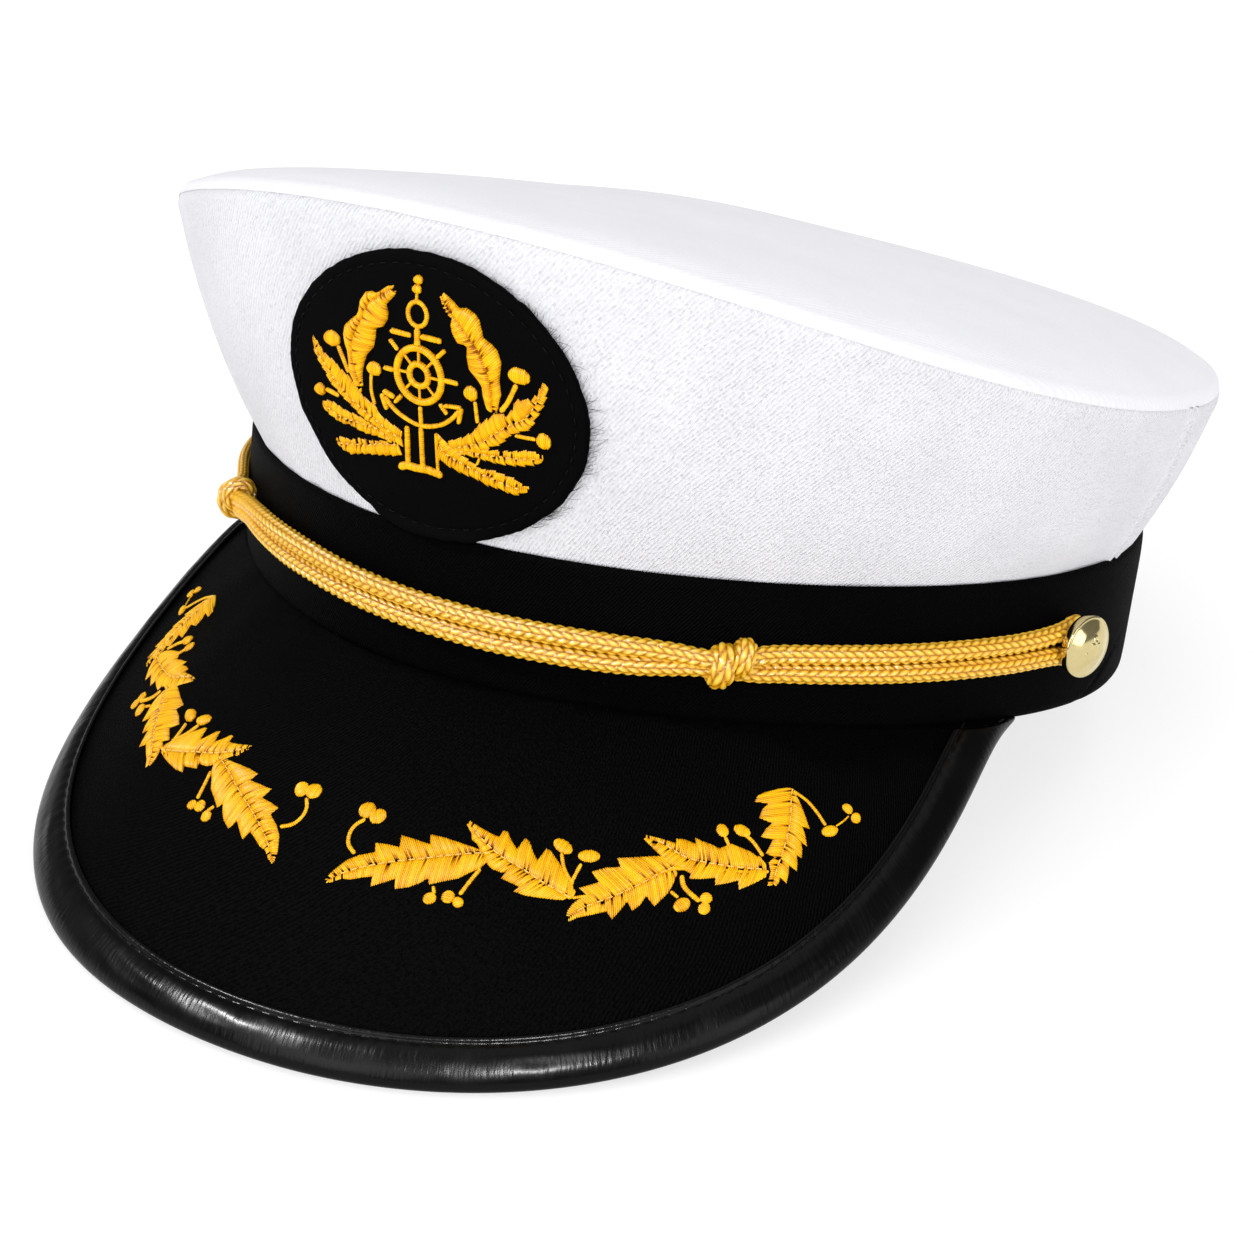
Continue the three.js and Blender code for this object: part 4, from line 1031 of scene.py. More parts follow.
# shade is the tone at the sides of every thread, and gleam is the painted highlight added along its crown
threadForm = {"pitch": 0.4, "ridge": 0.14, "leaf": 0.6, "smallLeaf": 0.65, "bigLeaf": 1.35, "strip": 0.7, "sunk": 0.2,
              "under": -0.45, "teeth": (1.8, 0.4), "shade": 0.2, "paintedGleam": 0.62}
rowPlaces = np.array([0.05, 0.3, 0.7, 0.95])  # where a thread's four rows lie across it


def sideOf(rib, length, outline):
    # Each margin point goes to the rib place under it, moved to the leaf's base by part of its distance
    margin = np.asarray(outline, float)
    way = unit(np.gradient(rib, axis=0))
    gap = np.linalg.norm(margin[:, None] - rib[None], axis=-1)
    nearest = gap.argmin(1)
    step = length[nearest] + ((margin - rib[nearest]) * way[nearest]).sum(-1) * 0.5
    place = np.maximum.accumulate((step + 0.35 * gap.min(1)) / length[-1])
    place = np.clip(place, 0, 1) + np.arange(len(place)) * 1e-4
    place = (place - place[0] * 0.5) / max(place[-1], 1.0)
    return place, margin


def leafShell(surface, leaf, seed, pad=None, groove=0.3, slits=0.18, teeth=None):
    # Rows of thread from margin to margin over the rib: a rounded pad, a groove on the rib and a ridge on every
    # thread, with a few threads pressed in beside the rib; teeth are a sawtooth on the margin, length and depth
    f = threadForm
    pad, pitch = pad or f["leaf"], f["pitch"]
    rib = smoothLine(leaf["rib"], 400)
    length = runOf(rib)
    count = max(int(length[-1] * 1.12 / pitch), 6)
    thread = np.repeat(np.arange(count), len(rowPlaces))
    within = np.tile(rowPlaces, count)
    share = (thread + within) / count
    draw = np.random.default_rng(seed)
    w = np.array([0.0, 0.05, 0.13, 0.27, 0.45, 0.64, 0.8, 0.91, 0.975, 1.0])
    rows, tonesAndPaintedLight = [], []
    crown = 1 - (2 * within - 1) ** 2
    wander = draw.uniform(-0.12, 0.12, count)[thread]
    middle = placeAt(share * length[-1], length, rib)
    tight = np.clip(np.minimum(share / 0.1, (1 - share) / 0.06), 0, 1) ** 0.5
    for sign, outline in ((1, leaf["upper"]), (-1, leaf["lower"])):
        place, margin = sideOf(rib, length, outline)
        nudge = (share + wander * pitch / length[-1])
        edge = placeAt(nudge, place, margin)
        if teeth:
            saw = 1 - (share * length[-1] / teeth[0] + 0.25 * sign) % 1
            ahead = unit(np.gradient(middle, axis=0))
            grow = teeth[1] * (saw - 0.3) * np.clip(np.minimum(share, 1 - share) / 0.08, 0.3, 1)
            edge = edge + unit(edge - middle) * grow[:, None] - ahead * (0.5 * grow)[:, None]
        spot = middle[:, None] + (edge - middle)[:, None] * w[None, :, None]
        wide = np.linalg.norm(edge - middle, axis=-1)
        full = pad * np.clip(wide / 3.2, 0.25, 1) ** 0.5 * (0.35 + 0.65 * tight)
        body = np.sqrt(np.clip(1 - w ** 2.6, 0, 1))[None] * full[:, None]
        dip = groove * bell(w * np.maximum(wide, 0.3)[:, None], 0.4)
        pressed = (draw.random(count) < slits)[thread]
        far = np.maximum(w * wide[:, None] - 0.15, 0) / (0.5 + 0.2 * wide[:, None])
        slit = np.where(pressed[:, None], 0.5 * np.exp(-far ** 2), 0)
        height = body - dip * np.minimum(full / pad, 1)[:, None] - slit - f["ridge"] * (1 - crown[:, None])
        height = height - f["sunk"] * w[None] ** 6
        # The tone holds painted light: a painted highlight along each thread's crown over a random tone per thread, and
        # painted shade in the rib's groove, at the margins and in the pressed slits
        toneAndPaintedLight = f["shade"] + f["paintedGleam"] * crown[:, None] + draw.uniform(-0.22, 0.22, count)[thread][:, None]
        toneAndPaintedLight = toneAndPaintedLight - 0.3 * bell(w * wide[:, None], 0.4) - 0.35 * w[None] ** 8
        toneAndPaintedLight = toneAndPaintedLight - np.where(pressed[:, None], 0.7 * np.exp(-far ** 2), 0)
        rows.append((spot, height))
        tonesAndPaintedLight.append(toneAndPaintedLight)
    (up, upHeight), (low, lowHeight) = rows
    spot = np.concatenate([up[:, ::-1], low[:, 1:], low[:, -1:] * 0.6 + middle[:, None] * 0.4,
                           up[:, -1:] * 0.6 + middle[:, None] * 0.4], 1)
    under = np.full((len(share), 1), f["under"])
    height = np.concatenate([upHeight[:, ::-1], lowHeight[:, 1:], under, under], 1)
    toneAndPaintedLight = np.concatenate([tonesAndPaintedLight[0][:, ::-1], tonesAndPaintedLight[1][:, 1:], under * 0, under * 0], 1)
    points = surface(spot[..., 0], spot[..., 1], height)
    uv = uvGrid(np.concatenate([share, [1]]) * length[-1], np.arange(spot.shape[1] + 1) * 0.3)
    return shell(points, False, uv, np.clip(toneAndPaintedLight, 0, 1))


def ribStitches(surface, ribPoints, seed, pad, every=1.7, size=1.2):
    # Short pale threads in the groove along a leaf's rib, with gaps between them
    rib = smoothLine(ribPoints, 300)
    length = runOf(rib)
    draw = np.random.default_rng(seed)
    shells = []
    for start in np.arange(0.08 * length[-1] + 0.4, 0.95 * length[-1], every):
        at = start + draw.uniform(-0.15, 0.15) + np.linspace(0, size, 4)
        line = placeAt(at, length, rib)
        shells.append(satinStrip(lambda u, v, h: surface(u, v, h + pad * 0.55), line, 0.12, 0.22, seed, pitch=0.3))
    return shells


def satinStrip(surface, line, half, pad=None, seed=1, closed=False, ends=True, pitch=None):
    # Threads laid side by side across a line: a low arch across, a ridge on every thread, rounded ends
    f = threadForm
    pad, pitch = pad or f["strip"], pitch or f["pitch"] * 0.9
    path = smoothLine(line, 200, closed)
    if closed:
        path = np.concatenate([path, path[:1]])
    length = runOf(path)
    count = max(int(length[-1] / pitch), 4)
    thread, within = np.repeat(np.arange(count), 4), np.tile(rowPlaces, count)
    share = (thread + within) / count
    draw = np.random.default_rng(seed)
    spot = placeAt(share * length[-1], length, path)
    if closed:
        way = unit(np.roll(spot, -1, 0) - np.roll(spot, 1, 0))
    else:
        way = unit(np.gradient(spot, axis=0))
    side = np.stack([-way[:, 1], way[:, 0]], -1)
    halves = np.interp(share, np.linspace(0, 1, len(half)), half) if np.ndim(half) else np.full(len(share), float(half))
    if ends and not closed:
        fromEnd = np.minimum(share, 1 - share) * length[-1]
        halves = halves * np.sqrt(np.clip(1 - np.clip(1 - fromEnd / np.maximum(halves, 0.05), 0, 1) ** 2, 0.03, 1))
    crown = 1 - (2 * within - 1) ** 2
    w = np.array([-1.0, -0.93, -0.75, -0.45, 0.0, 0.45, 0.75, 0.93, 1.0])
    reach = halves * (1 + draw.uniform(-0.05, 0.05, count)[thread])
    place = spot[:, None] + side[:, None] * (w[None] * reach[:, None])[..., None]
    rise = pad * np.clip(halves / 1.0, 0.35, 1) ** 0.5
    height = np.sqrt(np.clip(1 - w ** 2, 0, 1))[None] * rise[:, None] - 0.8 * f["ridge"] * (1 - crown[:, None])
    height = height - f["sunk"] * w[None] ** 6
    # The tone holds painted light: a painted highlight along each thread's crown over a random tone per thread, and
    # painted shade toward the strip's edges
    uneven = draw.uniform(-0.2, 0.2, count)[thread]
    toneAndPaintedLight = f["shade"] + f["paintedGleam"] * crown[:, None] + uneven[:, None] - 0.3 * w[None] ** 4
    under = spot[:, None] + side[:, None] * (np.array([[0.5, -0.5]]) * reach[:, None])[..., None]
    place = np.concatenate([place, under], 1)
    height = np.concatenate([height, np.full((len(share), 2), f["under"])], 1)
    toneAndPaintedLight = np.concatenate([toneAndPaintedLight, np.zeros((len(share), 2))], 1)
    points = surface(place[..., 0], place[..., 1], height)
    uv = uvGrid(np.concatenate([share, [1]]) * length[-1], np.arange(place.shape[1] + 1) * 0.25)
    return shell(points, closed, uv, np.clip(toneAndPaintedLight, 0, 1))


def berry(surface, centre, radii, seed=1, pad=1.0, angle=0.0):
    # A strip as long as one radius pair and as wide as an ellipse, so its threads lie side by side
    t = np.linspace(-0.98, 0.98, 25)
    way = np.array([math.cos(angle), math.sin(angle)])
    line = np.array(centre)[None] + (t * radii[0])[:, None] * way[None]
    return satinStrip(surface, line, radii[1] * np.sqrt(1 - t ** 2), pad, seed, ends=False)


def ringStrip(surface, centre, radii, half, seed=1, pad=None):
    # A closed strip along an ellipse
    turn = np.linspace(0, tau, 24, endpoint=False)
    line = np.stack([centre[0] + radii[0] * np.cos(turn), centre[1] + radii[1] * np.sin(turn)], -1)
    return satinStrip(surface, line, half, pad, seed, closed=True)


def mirrored(surface, sign):
    # The same surface with its first number turned round
    return lambda u, v, height: surface(sign * np.asarray(u), v, height)


# Peak sprays: millimetres along the middle of the peak's depth and from there to the band
sprayLeaves = [
    {"rib": [(4.2, -5.4), (7, -2.9), (10, -1), (14.5, 1), (19, 2.4), (24, 3.8), (28, 4.6), (32, 5)],
     "upper": [(3.8, -5.8), (4.3, -3.5), (6, -0.5), (7.7, 0.9), (10.3, 2.2), (9.6, 4), (12, 4.2), (14.4, 4.1),
               (13.8, 6.5), (17, 6.1), (19.8, 5.6), (19.3, 7.5), (22, 7.3), (25, 6.7), (28, 6), (31, 5.2)],
     "lower": [(3.9, -6.1), (5.3, -5.5), (6.8, -4.3), (8.3, -4.1), (10.2, -3.2), (11.9, -2.6), (12.1, -4.6),
               (14, -3.4), (15.8, -2.2), (16.3, -4.2), (18.5, -3.4), (20.1, -2.3), (21.3, -1.1), (21.8, -2.3),
               (24, -1.3), (26.5, -0.4), (28, 0.8), (30, 2), (31.5, 4)]},
    {"rib": [(26.2, 10.3), (29, 7.8), (33, 4.7), (37, 2.4), (41, -0.3), (44, -2.2), (46, -3.6)],
     "upper": [(26.2, 11), (28.5, 9.9), (31.5, 8.6), (32.7, 8.3), (33.2, 9.6), (34, 9.4), (35, 7.6), (36.1, 6.1),
               (37.5, 8.3), (38.4, 7.5), (39.2, 5.5), (40, 4), (41.6, 6.3), (42.4, 5.9), (43.6, 4.1), (44.3, 3),
               (44.8, 1.5), (45.9, 0.3), (46.3, -1), (46.9, -2.2), (46.3, -3)],
     "lower": [(25.7, 10.2), (27, 8.6), (27.4, 7.3), (28.5, 6.6), (29.5, 5.2), (30.5, 3.5), (31.2, 2.7), (32, 2),
               (33.6, 1.4), (34.5, 1.5), (33.7, 0.3), (35, -0.3), (36.5, -1), (37, -1.3), (35.9, -2.1), (38, -2.9),
               (40.5, -3.3), (43, -3.7), (45.5, -3.9)]},
    {"rib": [(45.2, -7), (47.5, -5.5), (50, -4.6), (54, -3.5), (58, -2.2), (61, -1.2), (64, -0.4)],
     "upper": [(44.6, -7), (45, -5.5), (46, -4.2), (47.5, -3.2), (48.4, -2.9), (47, -1.4), (50.5, -0.7), (49.3, 1.5),
               (52, 1.9), (54.6, 1.6), (54.2, 3.4), (57, 3), (60, 2.6), (62.5, 2.2), (64, 1.5), (64.5, 0.4)],
     "lower": [(45.2, -8), (46.8, -7.2), (49, -6.9), (51.4, -6.5), (52.2, -8.1), (53.5, -6.8), (55, -5.2),
               (55.6, -7), (57, -6.2), (58.3, -4.7), (59.3, -6.9), (60.8, -5.8), (62, -5), (63.2, -3.6),
               (64.5, -1.8)]},
    {"rib": [(60.3, 6), (63, 4.3), (66, 1.2), (68.5, -0.5), (72, -2.3), (75, -3.8), (78, -5.2), (79.6, -6)],
     "upper": [(60.4, 6.6), (62.5, 5.6), (64.5, 4.5), (65.8, 3.7), (65.8, 4.7), (67.5, 4.1), (69.2, 2.8), (69.4, 4),
               (70.5, 3), (72, 1.9), (73, 0.8), (75.5, 1), (77, -0.4), (78.4, -1.8), (78.9, -2.8), (79.5, -3),
               (80, -4.8)],
     "lower": [(59.7, 5.9), (60.8, 4.2), (62, 2.4), (62.6, 1), (63, 0.2), (65, -0.9), (66.5, -2.4), (66, -3.3),
               (68, -3.9), (70.4, -4.4), (69.9, -5.7), (72, -6), (74, -6.1), (73.5, -7.8), (76, -7.6), (79, -7.3),
               (79.5, -6.6)]},
    {"rib": [(79.4, -8.9), (81, -6.8), (83.5, -4.2), (86, -1.6), (88.3, 1.3), (90, 3.8), (91.4, 5.4)],
     "upper": [(78.4, -8.6), (79, -7.8), (80, -6.5), (80.3, -4.8), (81.7, -4.3), (80.5, -3.1), (82.9, -1.3),
               (80.8, 0), (82.5, 1), (84.1, 1.4), (82.1, 3.3), (83.5, 4.5), (85.2, 4.9), (82.7, 6.3), (84, 7.3),
               (86.5, 7), (89, 6.5), (91, 5.9)],
     "lower": [(79.5, -9.6), (80.7, -9), (81.3, -8.2), (81.8, -9.7), (83, -8.1), (83.7, -6.8), (84.4, -8.5),
               (85.3, -7), (85.8, -5.6), (86.3, -6.7), (87.2, -5.3), (87.6, -4), (88.2, -5.3), (89, -3.2),
               (89.3, -1.6), (90.3, -2.8), (90.8, -0.5), (91.2, 1.5), (91.5, 4), (91.6, 5.2)]},
]
sprayStems = [
    ([(7, 0.8), (5, 2.2), (4.2, 4.2), (4.5, 6), (5.8, 7.6)], 0.45), ([(22.6, -2.2), (23.1, -3.6)], 0.35),
    ([(30, 2), (28.6, -0.5), (27.3, -3.2)], 0.4), ([(46.2, -1), (44.8, 2), (44.3, 5)], 0.4),
    ([(45, -2.5), (46.5, 0.5), (47.8, 2.8)], 0.4), ([(62.5, -4.6), (63.5, -6)], 0.35),
    ([(65, -2.2), (65, -4.5), (66.8, -7.6)], 0.5), ([(75, -1), (74.8, 2.4)], 0.4),
    ([(80, -3.5), (79.4, -0.5), (78.6, 1.2)], 0.4), ([(91.3, 4.8), (92.6, 2.2), (93.1, -0.5), (93.2, -3.4)], 0.35),
    ([(31, 4.9), (36, 1.5), (42, -1.8), (46, -3.4)], 0.4), ([(46, -3.4), (52, -2.9), (58, -1.6), (64.5, -0.6)], 0.35),
    ([(64, -0.6), (70, -2.4), (76, -5), (79.8, -6.4)], 0.4),
]
sprayBerries = [
    ((5.3, 9.3), (1.9, 1.9)), ((8, 8.7), (1.8, 1.8)), ((22.5, -4.5), (1.25, 1.25)), ((25.5, -3.8), (1.3, 1.3)),
    ((27.3, -4.6), (1.1, 1.1)), ((44.6, 6.3), (2.2, 1.4)), ((49.3, 4.1), (2.2, 1.4)), ((63.8, -7.4), (1.6, 1.4)),
    ((67.2, -9), (1.2, 1.2)), ((68, -7.3), (1.1, 1.3)), ((74.8, 3.5), (1.4, 1.3)), ((78.3, 2.2), (1.8, 1.3)),
    ((93.3, -4.6), (1.7, 1.2)), ((98.6, -2.8), (0.9, 1.3)), ((98.9, -5), (1.1, 1.1)),
]


def makeSpray(name, sign, node, start, stretch):
    # The table's place along the peak is stretched a little and moved on from the middle
    surface = mirrored(lambda u, v, height: onPeak(u * stretch + sign * start, v, height), sign)
    seed = 100 if sign > 0 else 200
    shells = [satinStrip(surface, line, half, 0.5, seed + k) for k, (line, half) in enumerate(sprayStems)]
    shells += [leafShell(surface, leaf, seed + 20 + k) for k, leaf in enumerate(sprayLeaves)]
    shells += [berry(surface, place, np.array(radii) * 0.93, seed + 40 + k, 0.42, 0.5 * k)
               for k, (place, radii) in enumerate(sprayBerries)]
    shells.append(satinStrip(surface, [(94.8, -4.4), (96.5, -4.3), (98, -4.0)], 0.2, 0.35, seed + 70))
    piece(name, shells, goldThread, (node,))
    pale = sum((ribStitches(surface, leaf["rib"], seed + 80 + k, threadForm["leaf"])
                for k, leaf in enumerate(sprayLeaves)), [])
    piece(name + "Ribs", pale, paleThread)


makeSpray("peakSprayLeft", 1, "peak_spray_left", 0, 1)
makeSpray("peakSprayRight", -1, "peak_spray_right", 2.4, 1.028)

# Badge wreath and anchor: millimetres across and up from the middle of the patch
wreathLeft = {
    "big": [{
        "rib": [(-5.9, 17.4), (-9.5, 15.1), (-11.3, 13.4), (-12.6, 10.5), (-14.5, 7.2), (-14.8, 4.7), (-14.5, 1.3),
                (-13.6, -2.8)],
        "upper": [(-4.8, 17.3), (-5.5, 16.1), (-7.2, 14.3), (-6.8, 13), (-7, 11.5), (-8, 10.1), (-9.5, 9.5),
                  (-9.6, 8), (-10.1, 5.9), (-11.8, 4.3), (-12.4, 3), (-13, 0.9), (-13.1, -1.2), (-13.2, -3.5)],
        "lower": [(-5.5, 18.2), (-7, 17.8), (-9, 16.3), (-9.7, 16.1), (-10.3, 16.3), (-11.8, 15.9), (-13, 14.3),
                  (-13.4, 12.2), (-14, 11.3), (-15.3, 10.3), (-16.8, 9), (-17.2, 7.6), (-17, 5.9), (-16.5, 4.7),
                  (-16.3, 3), (-16.3, 0.5), (-15.1, -1.6), (-13.8, -3.5)]}],
    "small": [
        {"rib": [(-25.5, 5.3), (-24.9, 3), (-22.2, 0.3), (-20.9, -1.2), (-18.4, -3.3), (-15.5, -5.3), (-13.4, -6.4),
                 (-10.5, -7.8), (-7.2, -9.5), (-5.1, -10.1)],
         "upper": [(-25.4, 5.5), (-24, 3.9), (-22.9, 2.4), (-21, 1.6), (-20.1, 1.3), (-18.6, 0.3), (-16.3, -0.8),
                   (-15.1, -2), (-13.4, -4.1), (-10.3, -5.3), (-9.7, -6.6), (-7.2, -7.8), (-4.7, -8.7)],
         "lower": [(-25.8, 4.6), (-25.3, 2.2), (-24, 0.1), (-22.8, -1.2), (-21.8, -3), (-20.1, -4.1), (-18.6, -5.3),
                   (-16.3, -6.6), (-13.8, -8.3), (-11.3, -9.1), (-8.8, -10.3), (-7.2, -11.4), (-4.7, -12)]},
        {"rib": [(-24.5, -7.6), (-23, -8), (-19.3, -9.1), (-15.1, -9.3), (-10.5, -9.5), (-7.2, -11.2)],
         "upper": [(-24.3, -7.2), (-22, -6.8), (-20.5, -7), (-18.4, -7.6), (-15.5, -8), (-13.8, -8.5), (-7.4, -10.4)],
         "lower": [(-24, -8.9), (-21.8, -9.9), (-19.7, -10.5), (-16.8, -10.5), (-13.8, -11.2), (-10.1, -11.2),
                   (-7.4, -11.8)]},
        {"rib": [(-21.8, -14.5), (-19.3, -14.5), (-16.3, -13.9), (-13, -13.3), (-9.7, -12.2), (-5.9, -11.6)],
         "upper": [(-21.6, -13.9), (-19.7, -13.3), (-17.6, -13.5), (-15.1, -12.6), (-11.3, -12.2), (-8, -11.4),
                   (-5.9, -10.9)],
         "lower": [(-21.6, -15.1), (-20.5, -15.8), (-18, -16.4), (-14.7, -15.5), (-11.3, -14.9), (-8, -14.3),
                   (-5.9, -13.9), (-5.1, -13.7)]}],
    "stems": [([(-18.9, 4.6), (-16.5, -0.1)], 0.5), ([(-23, -4.6), (-19.5, -5.2)], 0.5),
              ([(-11, 1), (-11.2, -2.4), (-10.6, -5)], 0.4)],
    "berries": [((-20.2, 5.7), (2, 1.6)), ((-24.6, -4.9), (1.3, 1.3)), ((-10.2, 1.9), (1.6, 1.4))],
}
wreathRight = {
    "big": [{
        "rib": [(4.3, 18.2), (5.3, 16.5), (8, 14.3), (10.3, 11.8), (12, 9.7), (13.3, 6.8), (14, 3.8), (14.1, 1.3),
                (13.9, -0.8)],
        "upper": [(4.6, 19), (6, 18.2), (7.8, 16.8), (9.1, 17.2), (10.8, 16.5), (11.6, 15.7), (12.2, 13.8),
                  (12.5, 12.6), (14.1, 11.8), (15.1, 10.9), (15.8, 8.8), (15.5, 5.5), (15.8, 3), (15.3, 1.3),
                  (14.9, -0.8)],
        "lower": [(3.8, 18), (4.7, 16.1), (5.8, 14.9), (6.4, 14.7), (6.1, 13.4), (6.4, 12), (7.4, 10.5), (8.7, 10.5),
                  (9.3, 10.1), (9.2, 8.4), (9.6, 6.3), (11.2, 4.9), (12, 3.8), (12.2, 2.2), (12.8, -0.3),
                  (13.2, -0.8)]}],
    "small": [
        {"rib": [(23.7, 7), (22.8, 4.7), (21.2, 1.3), (19.5, -0.8), (17, -2.4), (14.9, -4.1), (12, -6.6), (8.7, -8.3),
                 (5.3, -9.7)],
         "upper": [(23.2, 7), (22.4, 4.7), (21.2, 3.4), (18.7, 2.8), (18, 2.2), (17.8, 0.9), (16.6, -0.8),
                   (14.5, -0.8), (13.3, -2), (11.2, -3.7), (10.1, -5.3), (7.8, -7), (4.9, -8.3)],
         "lower": [(24.3, 6.3), (23.9, 4.7), (23.5, 3), (22.6, 1.3), (21.6, -0.8), (20.8, -2.4), (18.2, -3.7),
                   (17, -4.5), (15.3, -6.6), (13.7, -7.4), (10.8, -9.1), (7.8, -9.7), (5.4, -10.6)]},
        {"rib": [(23, -7.4), (21.2, -7.8), (17.8, -8.5), (14.5, -8.9), (10.8, -9.3), (7, -9.7)],
         "upper": [(22.8, -6.6), (20.3, -6.4), (17.8, -7.2), (15.8, -7.6), (11, -8.5), (7, -9)],
         "lower": [(22.6, -8.2), (21.6, -8.9), (18.7, -9.9), (14.5, -10.5), (10.8, -10.3), (7, -10.3)]},
        {"rib": [(19.9, -14.1), (17, -14.3), (14.1, -13.7), (10.8, -13), (7.8, -12), (4.5, -10.8), (2.8, -8.7)],
         "upper": [(19.8, -13.6), (18.7, -13.7), (17.4, -12.6), (13.3, -12), (11.2, -12.4), (8.3, -10.8), (4.5, -8.7),
                   (2.8, -7.4)],
         "lower": [(19.6, -14.8), (17, -16), (14.5, -15.5), (12, -15.3), (9.9, -14.5), (7, -14.1), (4.5, -13.3),
                   (2.4, -12.4)]}],
    "stems": [([(18.6, 5.6), (17, 2), (15.5, -0.3)], 0.5), ([(21.8, -4), (18, -4.2)], 0.4),
              ([(10.7, 0.5), (11, -3.5)], 0.4), ([(11, -10.2), (10.4, -11.6)], 0.25)],
    "berries": [((19.1, 7.2), (2, 1.6)), ((23.2, -4), (1.3, 1.6)), ((10, 1.8), (1.3, 1.5))],
}


def onBadge(u, v, height):
    # Places read straight on to the crown, moved for the thickness of the patch as the front camera sees it
    u, v = np.asarray(u, float), np.asarray(v, float)
    return onPatch(1.55 + 0.96 * u - 0.006 * v + 0.0004 * u * (u + v), 1.15 + 0.978 * v - 0.001 * u, height)


def makeWreath(name, form, seed, node):
    f = threadForm
    shells = [satinStrip(onBadge, line, half, 0.55, seed + k) for k, (line, half) in enumerate(form["stems"])]
    shells += [leafShell(onBadge, leaf, seed + 10 + k, f["smallLeaf"], slits=0.12, teeth=f["teeth"])
               for k, leaf in enumerate(form["small"])]
    shells += [leafShell(onBadge, leaf, seed + 20 + k, f["bigLeaf"], groove=0.6) for k, leaf in enumerate(form["big"])]
    shells += [berry(onBadge, place, radii, seed + 30 + k, 0.75) for k, (place, radii) in enumerate(form["berries"])]
    piece(name, shells, goldThread, (node,))
    pale = sum((ribStitches(onBadge, leaf["rib"], seed + 40 + k, f["smallLeaf"], 1.5, 0.6)
                for k, leaf in enumerate(form["small"])), [])
    piece(name + "Ribs", pale, paleThread)


makeWreath("badgeWreathLeft", wreathLeft, 300, "badge_wreath_left")
makeWreath("badgeWreathRight", wreathRight, 400, "badge_wreath_right")

anchorStrips = [
    ([(-6.3, 9.8), (-1.8, 9.8)], 0.5), ([(0.1, 10), (4.4, 10)], 0.5), ([(-0.6, 11.5), (-0.6, 8)], 0.55),
    ([(-8, 2.6), (-5.7, 2.6)], 0.45), ([(4.7, 3), (7.6, 3)], 0.45), ([(-6.5, 8.2), (-4.7, 6.5)], 0.4),
    ([(5.1, 8.6), (3.3, 6.8)], 0.4), ([(-4.3, -1.8), (-5.9, -3.5)], 0.4), ([(3.7, -1.6), (5.1, -3.3)], 0.4),
    ([(-8, -2.8), (-6.8, -4.3), (-4.3, -5.8), (-0.5, -6.7), (3.3, -5.8), (5.8, -4.1), (7.6, -2)], 0.4),
    ([(-8.4, -1.8), (-5.9, -2.6)], 0.5), ([(-8.8, -2.4), (-7.8, -5.3)], 0.5), ([(4.5, -1.8), (8, -1.4)], 0.35),
    ([(8, -1.4), (7.3, -4.5)], 0.4), ([(-0.4, -3.0), (-0.4, -6.8)], 0.4), ([(-0.5, -7.0), (-0.8, -14.8)], 0.45),
    ([(-3.5, -7.4), (-4, -15.0)], 0.5), ([(2.6, -7.4), (2.4, -15.0)], 0.3),
    ([(-6.1, -16), (-4.3, -15.3), (-2.2, -15.3), (0.3, -15.1), (3.3, -15.5)], 0.7),
    ([(-0.7, 17.7), (-0.8, 16.0)], 0.25),
]


def makeAnchor():
    # Strips for the anchor, rings and spokes for the wheel, and two dots over it
    shells = [satinStrip(onBadge, line, half * 1.12, 0.75, 500 + k) for k, (line, half) in enumerate(anchorStrips)]
    shells.append(ringStrip(onBadge, (-0.6, 13.9), (1.95, 2.2), 0.45, 540))
    shells.append(ringStrip(onBadge, (-0.4, 2.8), (4.65, 4.95), 0.68, 541, 0.95))
    shells.append(ringStrip(onBadge, (-0.4, 2.8), (1.95, 2.0), 0.6, 542, 0.9))
    for k in range(8):
        angle = k * math.pi / 4
        line = [(-0.4 + r * math.cos(angle), 2.8 + r * math.sin(angle) * 1.05) for r in (2.3, 4.6)]
        shells.append(satinStrip(onBadge, line, 0.3, 0.55, 550 + k))
    for k, place in enumerate([(-0.5, 20.1), (-0.7, 18.4)]):
        shells.append(berry(onBadge, place, (0.9, 0.9), 560 + k, 0.8))
    piece("badgeAnchor", shells, goldThread, ("badge_anchor",))


makeAnchor()

# Floor, light and camera

studio = {"azimuth": 30.766, "elevation": 27.760, "roll": 0.542, "distance": 597.7, "aim": (-10.73, 19.88, 10.17),
          "lens": 81.149, "floor": 4.0, "grey": 0.36, "glow": 0.68, "sky": 0.83, "skyInGloss": 0.23}


def makeFloor():
    # A plain level square that also glows a little, so that it stays pale
    mesh = bpy.data.meshes.new("floor")
    far = studio["floor"]
    mesh.from_pydata([(-far, -far, 0), (far, -far, 0), (far, far, 0), (-far, far, 0)], [], [(0, 1, 2, 3)])
    made, w, shader = startMaterial("studioFloor", 0.9, 0.1)
    shader.inputs["Base Color"].default_value = (studio["grey"],) * 3 + (1,)
    shader.inputs["Emission Color"].default_value = (1, 1, 1, 1)
    shader.inputs["Emission Strength"].default_value = studio["glow"]
    mesh.materials.append(made)
    floor = bpy.data.objects.new("floor", mesh)
    scene.collection.objects.link(floor)


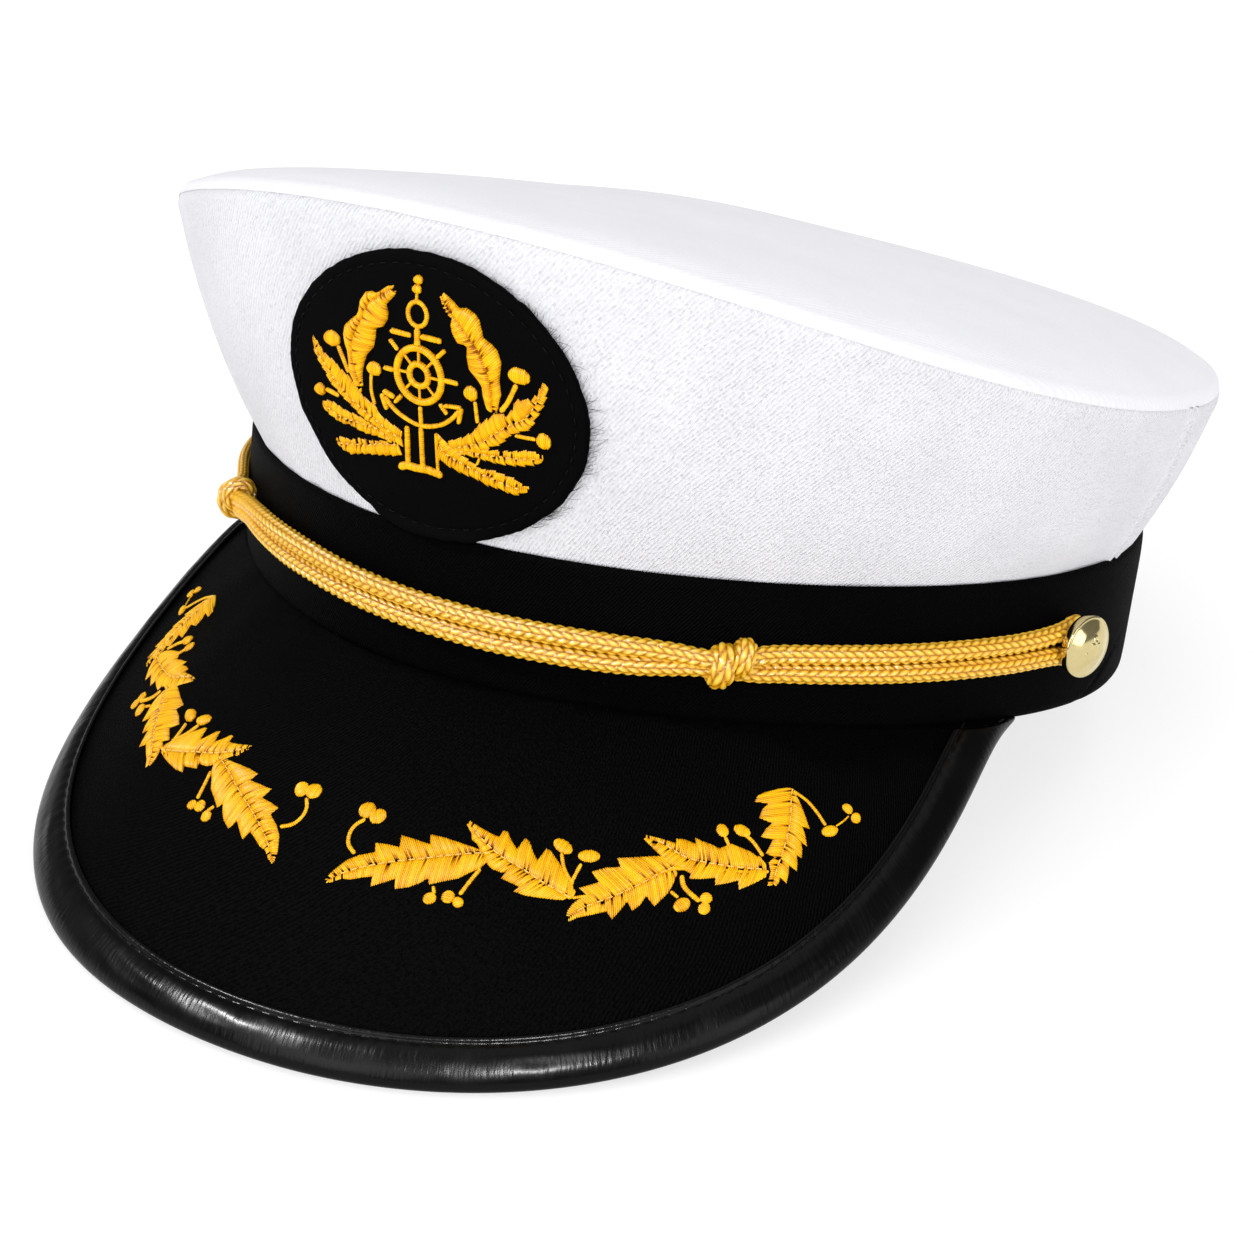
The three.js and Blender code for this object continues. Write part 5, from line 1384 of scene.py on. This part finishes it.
def makeLight(name, place, aim, size, power, shine=False):
    # A round soft light; one for shine only is left out of diffuse light, so that it casts no shadow there
    light = bpy.data.lights.new(name, "AREA")
    light.shape, light.size, light.energy = "DISK", size, power
    made = bpy.data.objects.new(name, light)
    made.location = place
    made.rotation_euler = (Vector(aim) - Vector(place)).to_track_quat("-Z", "Y").to_euler()
    made.visible_diffuse = not shine
    scene.collection.objects.link(made)


def makeCamera():
    # Set back from the aim along azimuth and elevation, rolled about its own line of sight
    s = studio
    azimuth, elevation, roll = (math.radians(s[key]) for key in ("azimuth", "elevation", "roll"))
    back = Vector((math.sin(azimuth) * math.cos(elevation), -math.cos(azimuth) * math.cos(elevation),
                   math.sin(elevation)))
    lens = bpy.data.cameras.new("camera")
    lens.lens, lens.sensor_width, lens.clip_start, lens.clip_end = s["lens"], 36, 0.01, 20
    made = bpy.data.objects.new("camera", lens)
    made.location = (Vector(s["aim"]) + back * s["distance"]) * 0.001
    turn = back.to_track_quat("Z", "Y").to_matrix()
    made.rotation_euler = (turn @ Matrix.Rotation(roll, 3, "Z")).to_euler()
    scene.collection.objects.link(made)
    scene.camera = made


def makeSky():
    # White all round, darker where a glossy surface mirrors it
    world = bpy.data.worlds.new("world")
    world.use_nodes = True
    sky, back = Wires(world.node_tree), world.node_tree.nodes["Background"]
    back.inputs[0].default_value = (1, 1, 1, 1)
    glossy = sky.add("ShaderNodeLightPath").outputs["Is Glossy Ray"]
    sky.join(sky.math("MULTIPLY_ADD", glossy, studio["skyInGloss"] - studio["sky"], studio["sky"]), back.inputs[1])
    scene.world = world


makeFloor()
makeLight("key", (-0.2, -1.8, 0.8), (0, 0, 0.05), 1.3, 14.5)
makeLight("side", (1.75, -0.4, 0.5), (0, 0, 0.05), 1.0, 6.5)
makeLight("overhead", (0.1, 0.1, 1.6), (0, 0, 0), 1.4, 3.5)
makeLight("glintLeft", (-0.9, -0.9, 1.3), (0, 0, 0.05), 0.2, 60, shine=True)
makeLight("glintRight", (0.9, -1.2, 1.1), (0, 0, 0.05), 0.2, 50, shine=True)
makeCamera()
makeSky()
scene.view_settings.view_transform = "Standard"
scene.view_settings.look = "None"
scene.view_settings.exposure = 0.0

print("scene made")
